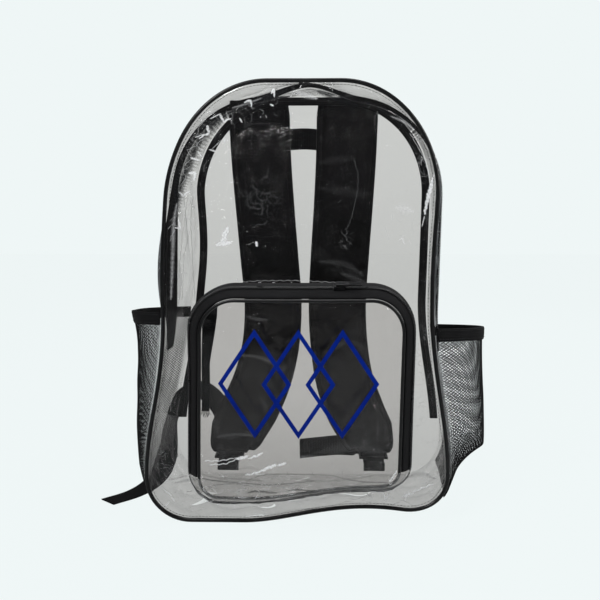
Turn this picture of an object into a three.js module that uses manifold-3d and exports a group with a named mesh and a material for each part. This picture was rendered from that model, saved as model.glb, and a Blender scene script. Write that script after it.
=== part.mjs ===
// A clear backpack of soft vinyl film, standing zipped up on its base, in millimetres.
// +Z is up, the front pocket faces -Y and the shoulder straps hang behind the back panel at +Y.
// The origin lies in the middle of the base, on the underside of the film.
import * as THREE from "three";
import { mergeVertices } from "three/addons/utils/BufferGeometryUtils.js";
import Module from "manifold-3d";

const wasm = await Module();
wasm.setup();

// Driving dimensions
const bag = {
  height: 432,
  footWidth: 302, // across its fullest stretch, just above the floor
  waistWidth: 262, // across the straight sides below the crown
  depth: 150, // front seam to back seam
  footRadius: 46,
  crownFlat: 70, // the level stretch at the top
  crownDrop: 112, // how far the crown's curve comes down at each side
  frontSwell: 7, // how far the front panel stands out in its middle
  sideSwell: 5,
  crownSag: 13, // how far the limp crown sinks at its shoulders, halfway back
  crownPeak: -0.1, // the share of that sag in the crown's middle, which stands up a little
  lean: 7, // how far the crown leans to the right
};
const back = { inset: -4, drop: -7, shift: 9 }; // the back panel, wider and taller than the front one
const film = 1; // wall of the clear sheets
const gap = 0.3; // between two pieces that meet
const piping = { radius: 2, sides: 6 };
const binding = { width: 9, thick: 1.2, inset: 2.2, endHeight: 68 }; // tape inside the back seam
const zipper = { centre: -14, tapeWidth: 30, tapeThick: 1, endHeight: 165 };
const coil = { width: 5, height: 1.8 };
const slider = { length: 11, width: 8.5, roof: 1.3, across: -4 };
const pull = { length: 24, width: 6.5, thick: 1.4, neck: 2.6 };
const pocket = {
  width: 219,
  shift: 3, // its middle against the bag's
  low: 22,
  high: 240,
  depth: 28,
  taper: 13, // how much smaller the face is than the base, all round
  topRadius: 46,
  footRadius: 34,
  faceSwell: 5,
  sideSwell: 3,
};
const pocketTrim = { radius: 1.6, coilAt: 0.52, sliderAcross: 34 };
const innerTape = { width: 16, endWidth: 8, thick: 1, high: 219, low: 114, inset: 0 };
const emblem = { width: 150, height: 103, middle: 148, stroke: 3.8, ink: 0.4, diamonds: 3, lap: 0.84 };
const hem = { height: 12, thick: 2.4 };
const mesh = { thick: 1, inset: 6, arch: 2.8, lift: 1.1 }; // inset from the front and back seams
const sidePockets = {
  left: { side: -1, low: 24, high: 200, frontRise: 10, standOff: 38, footShare: 0.2, closing: 0.14, pinch: 0.45 },
  right: { side: 1, low: 21, high: 180, frontRise: 15, standOff: 47, footShare: 0.64, closing: 0.27, pinch: 2.4 },
};
const pad = { width: 70, thick: 12, standOff: 36, side: 53, drift: 6, rise: 2, endHeight: 17 };
const padTop = bag.height + pad.rise;
const webbing = { width: 25, thick: 1.5 };
const lock = { width: 34, rail: 2.6, slot: 6, clear: 1.2, lift: 3.9, set: 2.1 };
const handle = { drop: 43, halfLength: 44, bow: 16 }; // the drop is from the top of the front seam
const anchor = { low: 4, high: 15 };
const tail = { high: 88 };

// The foot of the front seam lifts off the floor and the sides give: each row moves the film round
// one spot. Places are from the middle of the base. Across is a share of the foot's width, deep a
// share of the depth and high a share of the height, for the spot, its reach and its move alike.
const dents = [
  {
    across: 0.23, deep: -0.5, high: 0, reachAcross: 0.4, reachDeep: 0.3, reachHigh: 0.24,
    moveAcross: 0, moveHigh: 0.035,
  },
  {
    across: 0.46, deep: -0.5, high: 0.58, reachAcross: 0.2, reachDeep: 0.4, reachHigh: 0.2,
    moveAcross: -0.008, moveHigh: 0,
  },
  {
    across: -0.43, deep: 0.5, high: 0.62, reachAcross: 0.25, reachDeep: 0.5, reachHigh: 0.17,
    moveAcross: 0.014, moveHigh: 0,
  },
  {
    across: -0.47, deep: -0.25, high: 0.58, reachAcross: 0.22, reachDeep: 0.245, reachHigh: 0.22,
    moveAcross: -0.03, moveHigh: 0,
  },
  {
    across: -0.45, deep: -0.5, high: 0.57, reachAcross: 0.2, reachDeep: 0.5, reachHigh: 0.3,
    moveAcross: -0.016, moveHigh: 0,
  },
];

// How the padded part of a strap hangs, from its top end down. Down is a share of the pad's whole
// drop, side a share of its side value, right one of the pads' drift to the right, off one of the
// stand-off, and the rest shares of the section.
const padRows = [
  { down: 0, side: 0.95, right: 0.65, off: 0.0, wide: 0.94, thick: 0.42 },
  { down: 0.04, side: 0.95, right: 0.65, off: 0.14, wide: 1.0, thick: 0.8 },
  { down: 0.16, side: 0.93, right: 0.68, off: 0.5, wide: 1.0, thick: 1.0 },
  { down: 0.3, side: 0.87, right: 0.75, off: 0.84, wide: 1.0, thick: 1.0 },
  { down: 0.43, side: 0.8, right: 0.82, off: 1.0, wide: 1.0, thick: 1.0 },
  { down: 0.57, side: 0.735, right: 0.95, off: 1.02, wide: 0.99, thick: 1.0 },
  { down: 0.69, side: 0.79, right: 0.9, off: 0.98, wide: 0.99, thick: 1.0 },
  { down: 0.79, side: 0.95, right: 0.6, off: 0.94, wide: 1.0, thick: 1.0 },
  { down: 0.875, side: 1.21, right: 0.35, off: 0.96, wide: 1.01, thick: 1.0 },
  { down: 0.952, side: 1.52, right: 0.25, off: 1.02, wide: 0.95, thick: 0.95 },
  { down: 0.986, side: 1.63, right: 0.25, off: 0.97, wide: 0.78, thick: 0.7 },
  { down: 1.0, side: 1.635, right: 0.25, off: 0.82, wide: 0.58, thick: 0.45 },
];

// Where each strap's loose webbing goes once it has come through its lock. Across is a share of the
// bag's foot width and deep of its depth, both from the middle of the base, and high a share of the
// tail's own height. The lean is the way in which the webbing's width lies.
const tailRoutes = {
  left: [
    { across: -0.285, deep: 0.88, high: 0.24, lean: [1, 0, 0.1] },
    { across: -0.305, deep: 0.9, high: 0.5, lean: [0.95, 0, 0.25] },
    { across: -0.345, deep: 0.89, high: 0.8, lean: [0.85, 0, 0.55] },
    { across: -0.41, deep: 0.86, high: 1.0, lean: [0.3, -0.2, 0.9] },
    { across: -0.48, deep: 0.8, high: 0.94, lean: [-0.35, -0.6, 0.7] },
    { across: -0.525, deep: 0.75, high: 0.6, lean: [-0.45, -0.85, 0] },
    { across: -0.535, deep: 0.7, high: 0.22, lean: [-0.75, -0.6, 0] },
    { across: -0.545, deep: 0.62, high: 0.05, lean: [-1, -0.15, 0] },
    { across: -0.545, deep: 0.5, high: 0.006, lean: [-1, 0, 0] },
    { across: -0.56, deep: 0.2, high: 0, lean: [-1, 0.1, 0] },
    { across: -0.6, deep: 0, high: 0, lean: [-0.75, 0.6, 0] },
    { across: -0.67, deep: -0.16, high: 0, lean: [-0.6, 0.8, 0] },
  ],
  right: [
    { across: 0.27, deep: 0.86, high: 0.15, lean: [1, 0, 0.15] },
    { across: 0.235, deep: 0.93, high: 0.16, lean: [0.55, 0.5, 0.7] },
    { across: 0.17, deep: 0.935, high: 0.175, lean: [0, 0.1, 1] },
    { across: 0.085, deep: 0.89, high: 0.175, lean: [0, 0, 1] },
    { across: -0.003, deep: 0.83, high: 0.17, lean: [0, 0, 1] },
  ],
};

// The handle from end to end: across is a share of its half length and bow one of its bow.
const handleRows = [
  { across: -1, bow: 0 },
  { across: -0.75, bow: 0.02 },
  { across: -0.5, bow: 0.28 },
  { across: -0.25, bow: 0.8 },
  { across: 0, bow: 1 },
  { across: 0.25, bow: 0.8 },
  { across: 0.5, bow: 0.28 },
  { across: 0.75, bow: 0.02 },
  { across: 1, bow: 0 },
];

// Steps along each stretch of an outline
const steps = {
  across: 10, foot: 5, lowSide: 4, highSide: 5, crown: 7,
  corner: 4, pocketSide: 4, mesh: 12, meshRows: 9, pad: 24, webbing: 76, handle: 16,
};

const colours = {
  film: { color: 0xd5dbdb, roughness: 0.08, metalness: 0, transparent: true, opacity: 0.3 },
  trim: { color: 0x0c0c0e, roughness: 0.55, metalness: 0 },
  tape: { color: 0x101012, roughness: 0.85, metalness: 0 },
  mesh: { color: 0x1a1a1c, roughness: 0.9, metalness: 0 },
  fabric: { color: 0x121214, roughness: 0.9, metalness: 0 },
  plastic: { color: 0x0a0a0a, roughness: 0.35, metalness: 0 },
  metal: { color: 0x1c1c1e, roughness: 0.3, metalness: 0.8 },
  ink: { color: 0x0a2a8c, roughness: 0.5, metalness: 0 },
};

const lerp = THREE.MathUtils.lerp;
const smooth = THREE.MathUtils.smoothstep;
const vec = (x, y, z) => new THREE.Vector3(x, y, z);
const root = new THREE.Group();

function addMesh(name, geometry, finish) {
  const made = new THREE.Mesh(geometry, new THREE.MeshStandardMaterial(colours[finish]));
  made.name = name;
  root.add(made);
  return made;
}

// An indexed geometry whose faces point out, whichever way round its grid was walked
function closedGeometry(points, faces) {
  let volume = 0;
  for (const [a, b, c] of faces) {
    volume += points[a].dot(points[b].clone().cross(points[c]));
  }
  const index = faces.flatMap(([a, b, c]) => (volume > 0 ? [a, b, c] : [a, c, b]));
  return new THREE.BufferGeometry().setFromPoints(points).setIndex(index);
}

// A sheet between two grids of points, its two faces
function sheet(outer, inner) {
  const rows = outer.length;
  const columns = outer[0].length;
  const points = [...outer.flat(), ...inner.flat()];
  const at = (i, j) => i * columns + j;
  const behind = (i, j) => at(i, j) + rows * columns;
  const faces = [];
  const quad = (a, b, c, d) => faces.push([a, b, c], [a, c, d]);
  const [last, edge] = [rows - 1, columns - 1];
  for (let i = 0; i < last; i++) {
    for (let j = 0; j < edge; j++) {
      quad(at(i, j), at(i + 1, j), at(i + 1, j + 1), at(i, j + 1));
      quad(behind(i, j), behind(i, j + 1), behind(i + 1, j + 1), behind(i + 1, j));
    }
    quad(at(i, 0), behind(i, 0), behind(i + 1, 0), at(i + 1, 0));
    quad(at(i + 1, edge), behind(i + 1, edge), behind(i, edge), at(i, edge));
  }
  for (let j = 0; j < edge; j++) {
    quad(at(0, j), at(0, j + 1), behind(0, j + 1), behind(0, j));
    quad(at(last, j + 1), at(last, j), behind(last, j), behind(last, j + 1));
  }
  return closedGeometry(points, faces);
}

// A rod through convex sections, each a ring of points. A loop's last section meets its first.
function rod(sections, loop = false) {
  const count = sections.length;
  const sides = sections[0].length;
  const points = sections.flat();
  const at = (i, j) => (i % count) * sides + (j % sides);
  const faces = [];
  for (let i = 0; i < (loop ? count : count - 1); i++) {
    for (let j = 0; j < sides; j++) {
      faces.push([at(i, j), at(i + 1, j), at(i + 1, j + 1)], [at(i, j), at(i + 1, j + 1), at(i, j + 1)]);
    }
  }
  if (!loop) {
    for (let j = 1; j < sides - 1; j++) {
      faces.push([at(0, 0), at(0, j), at(0, j + 1)]);
      faces.push([at(count - 1, 0), at(count - 1, j + 1), at(count - 1, j)]);
    }
  }
  return closedGeometry(points, faces);
}

function solidOf(geometry) {
  const bare = geometry.clone();
  for (const name of ["normal", "uv"]) bare.deleteAttribute(name);
  const merged = mergeVertices(bare, 1e-4);
  return new wasm.Manifold(
    new wasm.Mesh({
      numProp: 3,
      vertProperties: merged.attributes.position.array,
      triVerts: new Uint32Array(merged.index.array),
    }),
  );
}

function geometryOf(solid) {
  const made = solid.getMesh();
  return new THREE.BufferGeometry()
    .setAttribute("position", new THREE.BufferAttribute(new Float32Array(made.vertProperties), 3))
    .setIndex(new THREE.BufferAttribute(new Uint32Array(made.triVerts), 1));
}

// Moves a point as the dents say. What stands in front of a seam goes with the seam.
function settled(point) {
  const moved = point.clone();
  const deep = THREE.MathUtils.clamp(point.y, -bag.depth / 2, bag.depth / 2);
  for (const dent of dents) {
    const far =
      ((point.x / bag.footWidth - dent.across) / dent.reachAcross) ** 2 +
      ((deep / bag.depth - dent.deep) / dent.reachDeep) ** 2 +
      ((point.z / bag.height - dent.high) / dent.reachHigh) ** 2;
    if (far < 1) {
      moved.x += dent.moveAcross * bag.footWidth * (1 - far) ** 2;
      moved.z += dent.moveHigh * bag.height * (1 - far) ** 2;
    }
  }
  moved.x += bag.lean * smooth(point.z, 0, bag.height);
  return moved;
}

const settledGrid = (grid) => grid.map((row) => row.map(settled));

// Half the bag's width at a height, on the front seam, or on one that lies inside it by inset
function halfWidth(z, inset = 0, top = bag.height) {
  const foot = bag.footWidth / 2 - inset;
  const waist = bag.waistWidth / 2 - inset;
  const crownStart = top - bag.crownDrop;
  if (z < bag.footRadius) {
    return foot - bag.footRadius + Math.sqrt(Math.max(0, bag.footRadius ** 2 - (bag.footRadius - z) ** 2));
  }
  if (z > crownStart) {
    const rise = Math.min(1, (z - crownStart) / bag.crownDrop);
    return bag.crownFlat / 2 + (waist - bag.crownFlat / 2) * Math.sqrt(1 - rise ** 2);
  }
  return lerp(foot, waist, smooth(z, bag.footRadius, crownStart * 0.65));
}

// The right half of a seam from the base up to the crown's level stretch, with its outward normals
function halfOutline(inset = 0, drop = 0) {
  const top = bag.height - drop;
  const crownStart = top - bag.crownDrop;
  const foot = bag.footWidth / 2 - inset;
  const waist = bag.waistWidth / 2 - inset;
  const points = [];
  for (let i = 0; i <= steps.foot; i++) {
    const angle = ((i / steps.foot - 1) * Math.PI) / 2;
    const x = foot - bag.footRadius + bag.footRadius * Math.cos(angle);
    points.push({ x, z: bag.footRadius * (1 + Math.sin(angle)), nx: Math.cos(angle), nz: Math.sin(angle) });
  }
  const side = (from, to, count) => {
    for (let i = 1; i <= count; i++) {
      const z = lerp(from, to, i / count);
      points.push({ x: halfWidth(z, inset, top), z, nx: 1, nz: 0 });
    }
  };
  side(bag.footRadius, zipper.endHeight, steps.lowSide);
  side(zipper.endHeight, crownStart, steps.highSide);
  const across = waist - bag.crownFlat / 2;
  for (let i = 1; i <= steps.crown; i++) {
    const angle = ((i / steps.crown) * Math.PI) / 2;
    const normal = new THREE.Vector2(Math.cos(angle) * bag.crownDrop, Math.sin(angle) * across).normalize();
    const x = bag.crownFlat / 2 + across * Math.cos(angle);
    points.push({ x, z: crownStart + bag.crownDrop * Math.sin(angle), nx: normal.x, nz: normal.y });
  }
  return points;
}

const mirrored = (points) => points.map(({ x, z, nx, nz }) => ({ x: -x, z, nx: -nx, nz }));

function between(from, to, count) {
  return Array.from({ length: count - 1 }, (_, i) => {
    const share = (i + 1) / count;
    return { x: lerp(from.x, to.x, share), z: lerp(from.z, to.z, share), nx: from.nx, nz: from.nz };
  });
}

// A seam's two halves made into its loop, and into two stretches that nearly meet where they split:
// one over the top and one round the base
function seamLoop(right, split) {
  const left = mirrored(right);
  const over = [
    ...right.slice(split),
    ...between(right.at(-1), left.at(-1), steps.across),
    ...left.slice(split).reverse(),
  ];
  const under = [
    ...left.slice(0, split + 1).reverse(),
    ...between(left[0], right[0], steps.across),
    ...right.slice(0, split + 1),
  ];
  const raised = (station) => ({ ...station, z: station.z + gap });
  const loop = [...over.slice(0, -1), ...under.slice(0, -1)];
  return { right, left, under, loop, over: [raised(over[0]), ...over.slice(1, -1), raised(over.at(-1))] };
}

const seam = (inset, drop) => seamLoop(halfOutline(inset, drop), steps.foot + steps.lowSide);

const front = seam(0, 0);
const rear = seam(back.inset, back.drop);
const frontY = -bag.depth / 2;
const backY = bag.depth / 2;

// A point of the side wall: along is a station of both seams, deep runs from 0 at the front to 1 at
// the back, and out moves the point off the film.
function wallPoint(frontStation, rearStation, deep, out = 0) {
  const arch = 4 * deep * (1 - deep);
  const level = Math.max(0, frontStation.nz);
  const shoulder = lerp(bag.crownPeak, 1, smooth(Math.abs(frontStation.x), 0, bag.crownFlat * 0.8));
  const sag = bag.crownSag * shoulder * level ** 2;
  const swell = arch * (bag.sideSwell * frontStation.nx ** 2 - sag) + out;
  return vec(
    lerp(frontStation.x, rearStation.x + back.shift, deep) + swell * frontStation.nx,
    lerp(frontY, backY, deep),
    lerp(frontStation.z, rearStation.z, deep) + swell * frontStation.nz,
  );
}

const deepAt = (y) => (y - frontY) / bag.depth;

// A band of the side wall between two depths, over one stretch of the seams
function wallBand(stretch, fromY, toY, columns, outside = 0, thick = film) {
  const rows = (out) =>
    front[stretch].map((station, i) =>
      Array.from({ length: columns + 1 }, (_, j) =>
        wallPoint(station, rear[stretch][i], deepAt(lerp(fromY, toY, j / columns)), out),
      ),
    );
  return sheet(settledGrid(rows(outside)), settledGrid(rows(outside - thick)));
}

// How far the front panel stands out of its seam's plane
function frontSwell(x, z) {
  const reach = Math.max(1, halfWidth(THREE.MathUtils.clamp(z, 0, bag.height)));
  const across = Math.min(1, Math.abs(x) / reach);
  const share = THREE.MathUtils.clamp(z / bag.height, 0, 1);
  return bag.frontSwell * (1 - across ** 2) * Math.sqrt(4 * share * (1 - share));
}

// A panel filling a seam: each row runs from the seam's left side to its right
function panel(outline, inward, faceY, thick = film) {
  const grid = (offset) =>
    outline.right.map((right, i) => {
      const left = outline.left[i];
      return Array.from({ length: steps.across + 1 }, (_, j) => {
        const x = lerp(left.x - left.nx * inward, right.x - right.nx * inward, j / steps.across);
        const z = right.z - right.nz * inward;
        return faceY(x, z, offset);
      });
    });
  return sheet(settledGrid(grid(0)), settledGrid(grid(thick)));
}

// The front piping runs with its outer edge on the seam, so everything inside it stands back this far.
const pipingInset = 2 * piping.radius + 2 * gap;

function addBody() {
  const frontFace = (x, z, offset) => vec(x, frontY - frontSwell(x, z) - film / 2 + offset, z);
  addMesh("front_panel", panel(front, pipingInset, frontFace), "film");
  const backFace = (x, z, offset) => vec(x + back.shift, backY - offset, z);
  addMesh("back_panel", panel(rear, 0, backFace), "film");

  const wallStart = frontY + piping.radius + gap;
  const wallEnd = backY - film - gap;
  const tapeStart = zipper.centre - zipper.tapeWidth / 2;
  const tapeEnd = zipper.centre + zipper.tapeWidth / 2;
  addMesh("base_and_side_wall", wallBand("under", wallStart, wallEnd, 5), "film");
  addMesh("crown_wall_front", wallBand("over", wallStart, tapeStart - gap, 3), "film");
  addMesh("crown_wall_back", wallBand("over", tapeEnd + gap, wallEnd, 2), "film");
  addMesh("zipper_tape", wallBand("over", tapeStart, tapeEnd, 6, 0, zipper.tapeThick), "tape");
  const coilStart = zipper.centre - coil.width / 2;
  const raised = 2 * gap + coil.height;
  const ridge = wallBand("over", coilStart, coilStart + coil.width, 2, raised, coil.height);
  addMesh("zipper_coil", ridge, "plastic");

  const level = (outline) => ({ x: slider.across, z: outline.right.at(-1).z, nx: 0, nz: 1 });
  const place = (y) => wallPoint(level(front), level(rear), deepAt(y));
  addMesh("zipper_slider", zipSlider(place(zipper.centre), place(tapeEnd), place(tapeStart)), "metal");
}

// A round cord of trim round a seam's loop, with its outer edge on the seam
function pipingLoop(stations, radius, place) {
  return rod(
    stations.map((station) =>
      Array.from({ length: piping.sides }, (_, j) => {
        const angle = ((j + 0.5) / piping.sides) * 2 * Math.PI;
        const out = radius * (Math.cos(angle) - 1);
        const middle = place(station);
        return settled(
          vec(middle.x + out * station.nx, middle.y + radius * Math.sin(angle), middle.z + out * station.nz),
        );
      }),
    ),
    true,
  );
}

function addSeams() {
  const cord = pipingLoop(front.loop, piping.radius, ({ x, z }) => vec(x, frontY, z));
  addMesh("front_piping", cord, "trim");

  // The binding covers the back seam from inside, over the top, and its two ends are cut off square.
  const top = between(rear.right.at(-1), rear.left.at(-1), steps.across);
  const arch = [...rear.right.slice(1), ...top, ...rear.left.slice(1).reverse()];
  const faceY = backY - film - gap;
  const strip = (y) =>
    arch.map(({ x, z, nx, nz }) => {
      const place = (inward) => vec(x + back.shift - nx * inward, y, z - nz * inward);
      return [place(binding.inset), place(binding.inset + binding.width)];
    });
  const band = sheet(settledGrid(strip(faceY)), settledGrid(strip(faceY - binding.thick)));
  const below = new THREE.BoxGeometry(2 * bag.footWidth, 2 * bag.depth, 2 * binding.endHeight);
  addMesh("back_seam_binding", geometryOf(solidOf(band).subtract(solidOf(below))), "tape");
}

// A zipper slider with its pull lying along the zipper, to the right, in one piece. It stands at a
// place on the tape, over the coil, square to the line from one edge of the tape to the other.
function zipSlider(place, backEdge, frontEdge) {
  const along = vec(1, 0, 0);
  const up = new THREE.Vector3().crossVectors(frontEdge.clone().sub(backEdge), along).normalize();
  const across = new THREE.Vector3().crossVectors(up, along);
  const frame = new THREE.Matrix4().makeBasis(along, across, up).setPosition(settled(place));
  const block = (length, width, low, high, middle) => {
    const box = new THREE.BoxGeometry(length, width, high - low);
    return solidOf(box.translate(middle, 0, (low + high) / 2));
  };
  const roof = coil.height + 3 * gap; // the underside of the slider's roof
  const top = roof + slider.roof;
  const plate = top + 2 * gap;
  const body = block(slider.length, slider.width, gap, top, 0)
    .subtract(block(2 * slider.length, coil.width + 2 * gap, -roof, roof, 0))
    .add(block(pull.neck, pull.neck, roof + gap, plate + gap, 0))
    .add(block(pull.length, pull.width, plate, plate + pull.thick, (pull.length - pull.width) / 2));
  return geometryOf(body).applyMatrix4(frame);
}

// The pocket's outline, a rounded rectangle that the taper makes smaller from base to face
function pocketHalf(inset) {
  const half = pocket.width / 2 - inset;
  const low = pocket.low + inset;
  const high = pocket.high - inset;
  const foot = pocket.footRadius - inset;
  const top = pocket.topRadius - inset;
  const points = [];
  for (let i = 0; i <= steps.corner; i++) {
    const angle = ((i / steps.corner - 1) * Math.PI) / 2;
    const [nx, nz] = [Math.cos(angle), Math.sin(angle)];
    points.push({ x: half - foot + foot * nx, z: low + foot + foot * nz, nx, nz });
  }
  for (let i = 1; i < steps.pocketSide; i++) {
    const z = lerp(low + foot, high - top, i / steps.pocketSide);
    points.push({ x: half, z, nx: 1, nz: 0 });
  }
  for (let i = 0; i <= steps.corner; i++) {
    const angle = ((i / steps.corner) * Math.PI) / 2;
    const [nx, nz] = [Math.cos(angle), Math.sin(angle)];
    points.push({ x: half - top + top * nx, z: high - top + top * nz, nx, nz });
  }
  return points;
}

const pocketOutline = (inset) => seamLoop(pocketHalf(inset), steps.corner);
const pocketBase = pocketOutline(0);
const pocketRim = pocketOutline(pocket.taper);
const pocketWallLength = Math.hypot(pocket.depth, pocket.taper);

// The front of the pocket at a place across and up, on the outside of its film
function pocketFaceY(x, z) {
  const across = Math.min(1, Math.abs(x) / (pocket.width / 2));
  const middle = (pocket.low + pocket.high) / 2;
  const up = Math.min(1, Math.abs(z - middle) / ((pocket.high - pocket.low) / 2));
  const swell = pocket.faceSwell * (1 - across ** 2) * (1 - up ** 2);
  return frontY - frontSwell(x + pocket.shift, z) - pocket.depth - swell;
}

// A point of the pocket's wall: share runs from 0 at the bag's front to 1 at the pocket's face
function pocketWallPoint(base, rim, share, out = 0) {
  const x = lerp(base.x, rim.x, share) + pocket.shift;
  const z = lerp(base.z, rim.z, share);
  const stand = (pocket.sideSwell * 4 * share * (1 - share) + out) / pocketWallLength;
  const [level, forward] = [stand * pocket.depth, stand * pocket.taper]; // square to the sloping wall
  const seat = film / 2 + gap + (film * pocket.taper) / pocketWallLength; // its inner edge meets the panel
  const baseY = frontY - frontSwell(base.x + pocket.shift, base.z) - seat;
  const y = lerp(baseY, pocketFaceY(rim.x, rim.z), share);
  return vec(x + level * base.nx, y - forward, z + level * base.nz);
}

function pocketBand(stretch, from, to, columns, outside = 0, thick = film) {
  const rows = (out) =>
    pocketBase[stretch].map((base, i) =>
      Array.from({ length: columns + 1 }, (_, j) =>
        pocketWallPoint(base, pocketRim[stretch][i], lerp(from, to, j / columns), out),
      ),
    );
  return sheet(settledGrid(rows(outside)), settledGrid(rows(outside - thick)));
}

// The pocket's face, or a sheet lying on it: lift moves it out of the film's outside
function pocketFaceSheet(lift, thick) {
  const inward = 2 * pocketTrim.radius + gap;
  const face = (x, z, offset) => vec(x + pocket.shift, pocketFaceY(x, z) - lift + offset, z);
  return panel(pocketRim, inward, face, thick);
}

function addPocket() {
  const wallReach = 1 - (0.62 * pocketTrim.radius + gap) / pocket.depth; // up to the piping's round back
  addMesh("pocket_face", pocketFaceSheet(film / 2, film), "film");
  addMesh("pocket_foot_wall", pocketBand("under", 0, wallReach, 3), "film");
  addMesh("pocket_zipper_tape", pocketBand("over", 0, wallReach, 4, 0, zipper.tapeThick), "tape");
  const half = coil.width / 2 / pocketWallLength;
  const ridge = [pocketTrim.coilAt - half, pocketTrim.coilAt + half];
  const raised = gap + coil.height;
  addMesh("pocket_zipper_coil", pocketBand("over", ridge[0], ridge[1], 2, raised, coil.height), "plastic");

  const level = (z) => ({ x: pocketTrim.sliderAcross, z, nx: 0, nz: 1 });
  const [base, rim] = [level(pocket.high), level(pocket.high - pocket.taper)];
  const seat = (share) => pocketWallPoint(base, rim, share);
  const onPocket = zipSlider(seat(pocketTrim.coilAt), seat(ridge[0]), seat(ridge[1]));
  addMesh("pocket_zipper_slider", onPocket, "metal");

  const place = ({ x, z }) => vec(x + pocket.shift, pocketFaceY(x, z), z);
  addMesh("pocket_piping", pipingLoop(pocketRim.loop, pocketTrim.radius, place), "trim");

  // A loose end of the zipper's tape hangs inside the pocket at its left.
  const strip = (offset) =>
    [0, 0.25, 0.5, 0.75, 1].map((share) => {
      const width = lerp(innerTape.width, innerTape.endWidth, share);
      const z = lerp(innerTape.high, innerTape.low, share);
      const edge = pocket.shift - pocket.width / 2 + pocket.taper + innerTape.inset;
      return [edge, edge + width].map((x) =>
        vec(x, frontY - frontSwell(x, z) - film / 2 - gap - offset, z),
      );
    });
  addMesh("pocket_inner_tape", sheet(settledGrid(strip(innerTape.thick)), settledGrid(strip(0))), "tape");
}

function addEmblem() {
  // Outlined diamonds side by side, each crossing the next
  const step = emblem.width / (emblem.diamonds - 1 + 2 * emblem.lap);
  const halfWidth = emblem.lap * step;
  const halfHeight = emblem.height / 2;
  const lean = Math.hypot(halfWidth, halfHeight) / (halfWidth * halfHeight); // per mm of stroke
  const inner = 1 - emblem.stroke * lean;
  const reach = 2 * bag.depth;
  const diamond = (middle) => {
    const corners = (share) =>
      [[1, 0], [0, 1], [-1, 0], [0, -1]].map(
        ([a, b]) => new THREE.Vector2(middle + a * halfWidth * share, b * halfHeight * share),
      );
    const shape = new THREE.Shape(corners(1));
    shape.holes.push(new THREE.Path(corners(inner)));
    const outline = new THREE.ExtrudeGeometry(shape, { depth: reach, bevelEnabled: false });
    outline.rotateX(Math.PI / 2); // the shape's height is now the bag's
    return outline.translate(pocket.shift, 0, emblem.middle);
  };
  const places = Array.from({ length: emblem.diamonds }, (_, i) => (i - (emblem.diamonds - 1) / 2) * step);
  const outlines = places.map((middle) => solidOf(diamond(middle))).reduce((sum, one) => sum.add(one));
  const skin = solidOf(pocketFaceSheet(film / 2 + gap + emblem.ink, emblem.ink));
  addMesh("emblem", geometryOf(outlines.intersect(skin)), "ink");
}

// The side seams at any height of the straight sides and the rounded foot
function sideStation(z, inset = 0, drop = 0) {
  const x = halfWidth(z, inset, bag.height - drop);
  if (z >= bag.footRadius) return { x, z, nx: 1, nz: 0 };
  const nz = (z - bag.footRadius) / bag.footRadius;
  return { x, z, nx: Math.sqrt(1 - nz ** 2), nz };
}

// A mesh pocket on the bag's side: its net stands out of the wall and closes onto it at the foot.
// Up runs from 0 at the foot to 1 at the top of its hem, which rises to the front.
function sidePocketPoint(form, deep, up, out) {
  const { side, low, high, frontRise, standOff, footShare, closing, pinch } = form;
  const z = lerp(low, high + frontRise * (1 - deep), up);
  const arch = 1 - Math.abs((2 * deep - 1) / (1 - (2 * mesh.inset) / bag.depth)) ** mesh.arch;
  const bulge = standOff * arch * lerp(footShare, 1, up) * Math.min(1, up / closing) ** pinch;
  const turned = (station) => ({ ...station, x: side * station.x, nx: side * station.nx });
  const stations = [sideStation(z), sideStation(z, back.inset, back.drop)].map(turned);
  return wallPoint(...stations, deep, mesh.lift + bulge + out);
}

function sidePocketSheet(form, fromUp, toUp, rows, thick, outside) {
  const from = mesh.inset / bag.depth;
  const grid = (out) =>
    Array.from({ length: rows + 1 }, (_, i) =>
      Array.from({ length: steps.mesh + 1 }, (_, j) => {
        const deep = lerp(from, 1 - from, j / steps.mesh);
        return sidePocketPoint(form, deep, lerp(fromUp, toUp, i / rows), out);
      }),
    );
  return sheet(settledGrid(grid(outside)), settledGrid(grid(outside - thick)));
}

function addSidePockets() {
  for (const [name, form] of Object.entries(sidePockets)) {
    const hemShare = hem.height / (form.high - form.low);
    const gapShare = gap / (form.high - form.low);
    const net = sidePocketSheet(form, 0, 1 - hemShare - gapShare, steps.meshRows, mesh.thick, mesh.thick);
    addMesh(`mesh_pocket_${name}`, net, "mesh");
    const band = sidePocketSheet(form, 1 - hemShare, 1, 1, hem.thick, hem.thick);
    addMesh(`mesh_hem_${name}`, band, "fabric");
  }
}

// A strap along a route of places, each with the way its width leans, its width and its thickness
function ribbon(route, shape, count) {
  const curve = new THREE.CatmullRomCurve3(route.map((row) => row.place), false, "centripetal");
  const last = route.length - 1;
  return rod(
    Array.from({ length: count + 1 }, (_, i) => {
      const share = i / count;
      const row = Math.min(last - 1, Math.floor(share * last));
      const within = share * last - row;
      const [here, next] = [route[row], route[row + 1]];
      const along = curve.getTangent(share);
      const across = here.lean.clone().lerp(next.lean, within);
      across.addScaledVector(along, -across.dot(along)).normalize();
      const up = new THREE.Vector3().crossVectors(along, across);
      const width = lerp(here.width, next.width, within);
      const thick = lerp(here.thick, next.thick, within);
      const middle = curve.getPoint(share);
      return shape.map(([a, b]) =>
        middle.clone().addScaledVector(across, a * width).addScaledVector(up, b * thick),
      );
    }),
  );
}

const flat = [[-0.5, -0.5], [0.5, -0.5], [0.5, 0.5], [-0.5, 0.5]];
const padded = [
  [-0.5, -0.2], [-0.44, -0.5], [0, -0.5], [0.44, -0.5], [0.5, -0.2],
  [0.5, 0.2], [0.44, 0.5], [0, 0.5], [-0.44, 0.5], [-0.5, 0.2],
];

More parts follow.
